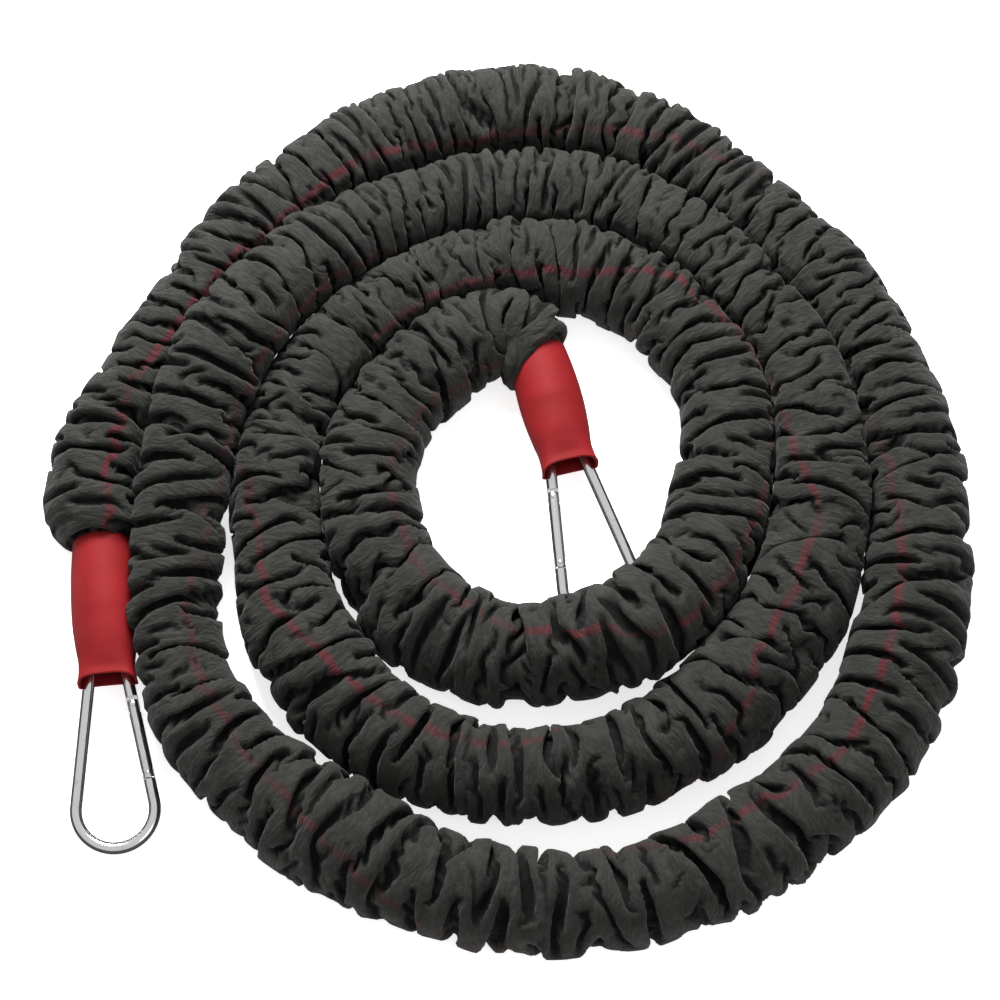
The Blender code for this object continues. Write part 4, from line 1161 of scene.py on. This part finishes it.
def hook(end, look):
    """The hook's wire, with its hinge tongue and its notched nose."""
    place = hook_frame(end)
    line = hook_line(FINE_BENDS, FINE_LEGS)
    points = [place @ Vector(point) for point in swept(line, WIRE_RADIUS, HOOK_SIDES)]
    thing = piece(f"{end}_hook_wire", points, tube_faces(len(line), HOOK_SIDES), look,
                  f"{end}_hook", f"{end}_hook_body")
    carve(thing, tongue_cutters(-HINGE_SHOULDER, TONGUE_REACH + OVERRUN),
          place @ leg_frame(HINGE_SHARE))
    notch, out = LATCH_RADIUS + LATCH_ROOM, WIRE_RADIUS + OVERRUN
    nose = tongue_cutters(-NOSE_REACH - OVERRUN, NOSE_SHOULDER)
    nose.append(box((-notch, -out, -out), (notch, notch, out)))
    carve(thing, nose, place @ leg_frame(LATCH_SHARE))


def gate(end, look):
    """The gate's bar, with softened ends, slotted over the hook's two tongues."""
    place = hook_frame(end) @ leg_frame(HINGE_SHARE)
    length = GATE_SPAN + GATE_TIP
    ease, less = GATE_EASE, GATE_EASE * EASE_SHARE
    stations = [(-GATE_BACK, WIRE_RADIUS - ease), (-GATE_BACK + less, WIRE_RADIUS - less),
                (-GATE_BACK + ease, WIRE_RADIUS)]
    stations += [(x, WIRE_RADIUS) for x in np.linspace(ease, length - 2 * ease, GATE_STATIONS)]
    stations += [(length - ease, WIRE_RADIUS), (length - less, WIRE_RADIUS - less),
                 (length, WIRE_RADIUS - ease)]
    angles = circle(HOOK_SIDES)
    points = [place @ Vector((x, r * math.cos(a), r * math.sin(a))) for x, r in stations
              for a in angles]
    thing = piece(f"{end}_gate_bar", points, tube_faces(len(stations), HOOK_SIDES), look,
                  f"{end}_hook_gate", f"{end}_gate")
    out, half = WIRE_RADIUS + OVERRUN, SLOT_WIDTH / 2
    slots = [box((-GATE_BACK - OVERRUN, -out, -half), (HINGE_SLOT_END, out, half)),
             box((GATE_SPAN - NOSE_SLOT_END, -out, -half), (length + OVERRUN, out, half))]
    carve(thing, slots, place)


def headed_pin(name, radius, look, body, node, place):
    """A pin across the wire, with a low domed head at each side."""
    head = radius * HEAD_SHARE
    side = [(head * out, WIRE_RADIUS + above) for out, above in HEAD_PROFILE]
    side.append((radius, WIRE_RADIUS - PIN_FOOT))
    profile = side + [(r, -z) for r, z in reversed(side)]
    angles = circle(PIN_SIDES)
    points = []
    for r, z in profile:
        r = max(r, PIN_MIDDLE)
        points += [place @ Vector((r * math.cos(a), r * math.sin(a), z)) for a in angles]
    piece(name, points, tube_faces(len(profile), PIN_SIDES), look, body, node)


def pins(end, look):
    """The hinge's rivet and the latch pin, with domed heads."""
    place = hook_frame(end)
    headed_pin(f"{end}_hinge_rivet_headed", RIVET_RADIUS, look, f"{end}_hook",
               f"{end}_hinge_rivet", place @ leg_frame(HINGE_SHARE))
    latch = place @ leg_frame(HINGE_SHARE) @ Matrix.Translation((GATE_SPAN, 0, 0))
    headed_pin(f"{end}_latch_pin_headed", LATCH_RADIUS, look, f"{end}_hook_gate",
               f"{end}_latch_pin", latch)


def dress(node, look):
    """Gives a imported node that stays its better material."""
    thing = frame["nodes"][node]
    if not thing.material_slots:
        thing.data.materials.append(look)
    for slot in thing.material_slots:
        slot.material = look


def floor():
    """A wide pale floor just under the model."""
    corners = [(x * FLOOR_SIDE, y * FLOOR_SIDE, FLOOR_LEVEL)
               for x, y in ((-1, -1), (1, -1), (1, 1), (-1, 1))]
    thing = shown("floor", shaped("floor", corners, [(0, 1, 2, 3)]))
    thing.data.materials.append(pale_floor())


def lamp(name, place, aim, size, power):
    """A round soft lamp."""
    light = bpy.data.lights.new(name, "AREA")
    light.shape = "DISK"
    light.size = size
    light.energy = power
    thing = shown(name, light)
    thing.location = place
    thing.rotation_euler = (Vector(aim) - Vector(place)).to_track_quat("-Z", "Y").to_euler()


def studio():
    """A pale floor, two soft lamps, and a bright sky over a dim wall; the camera sees white."""
    scene = bpy.context.scene
    floor()
    scene.world = bpy.data.worlds.new("studio")
    look = Look("studio", scene.world, Strength=SKY_STRENGTH)
    toward = look.node("ShaderNodeTexCoord").outputs["Generated"]
    height = Number(look, look.node("ShaderNodeSeparateXYZ", {}, {0: toward}).outputs["Z"])
    around = look.mix(height.step(*WALL_HEIGHTS), WALL_SHADE, WHITE)
    seen = look.node("ShaderNodeLightPath").outputs["Is Camera Ray"]
    look.feed(Color=look.mix(seen, around, BACKGROUND_WHITE))
    for values in LAMPS:
        lamp(*values)
    scene.view_settings.view_transform = "Standard"


def camera():
    """The photograph's view: from 65 degrees above the floor, a little over a metre away."""
    target = model_shift()
    target.z = 0
    lens = bpy.data.cameras.new("camera")
    lens.sensor_fit = "HORIZONTAL"
    lens.angle = 2 * math.atan(HALF_VIEW / CAMERA_DISTANCE)
    lens.shift_x, lens.shift_y = CAMERA_SHIFT
    thing = shown("camera", lens)
    toward = Vector((0, -math.cos(CAMERA_ELEVATION), math.sin(CAMERA_ELEVATION)))
    thing.location = target + CAMERA_DISTANCE * toward
    thing.rotation_euler = (math.pi / 2 - CAMERA_ELEVATION, 0, 0)
    bpy.context.scene.camera = thing


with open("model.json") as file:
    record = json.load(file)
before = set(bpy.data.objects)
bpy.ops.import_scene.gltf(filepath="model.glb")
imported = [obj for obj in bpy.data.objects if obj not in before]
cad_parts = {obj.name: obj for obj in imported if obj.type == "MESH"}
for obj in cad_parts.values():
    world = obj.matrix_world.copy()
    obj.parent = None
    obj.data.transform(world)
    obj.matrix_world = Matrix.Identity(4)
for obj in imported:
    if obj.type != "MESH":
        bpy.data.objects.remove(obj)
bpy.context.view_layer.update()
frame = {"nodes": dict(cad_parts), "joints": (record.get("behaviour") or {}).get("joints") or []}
camera()
studio()
places, line = route()
sleeve(places, line, charcoal_fabric())
rubber = red_rubber()
wire_steel = polished_steel("polished_wire", 0.13)
gate_steel = polished_steel("polished_bar", 0.15)
pin_steel = polished_steel("turned_pins", 0.24)
nylon, braid = moulded_nylon(), braided_cord()
for end in CUFF_LENGTHS:
    cuff(end, rubber)
    hook(end, wire_steel)
    gate(end, gate_steel)
    pins(end, pin_steel)
    for part in ("sleeve_clamp", "anchor_pin", "gate_spring", "gate_plunger"):
        dress(f"{end}_{part}", pin_steel)
    dress(f"{end}_anchor_plug", nylon)
    dress(f"{end}_tether_loop", braid)
core_strands(line, natural_latex())
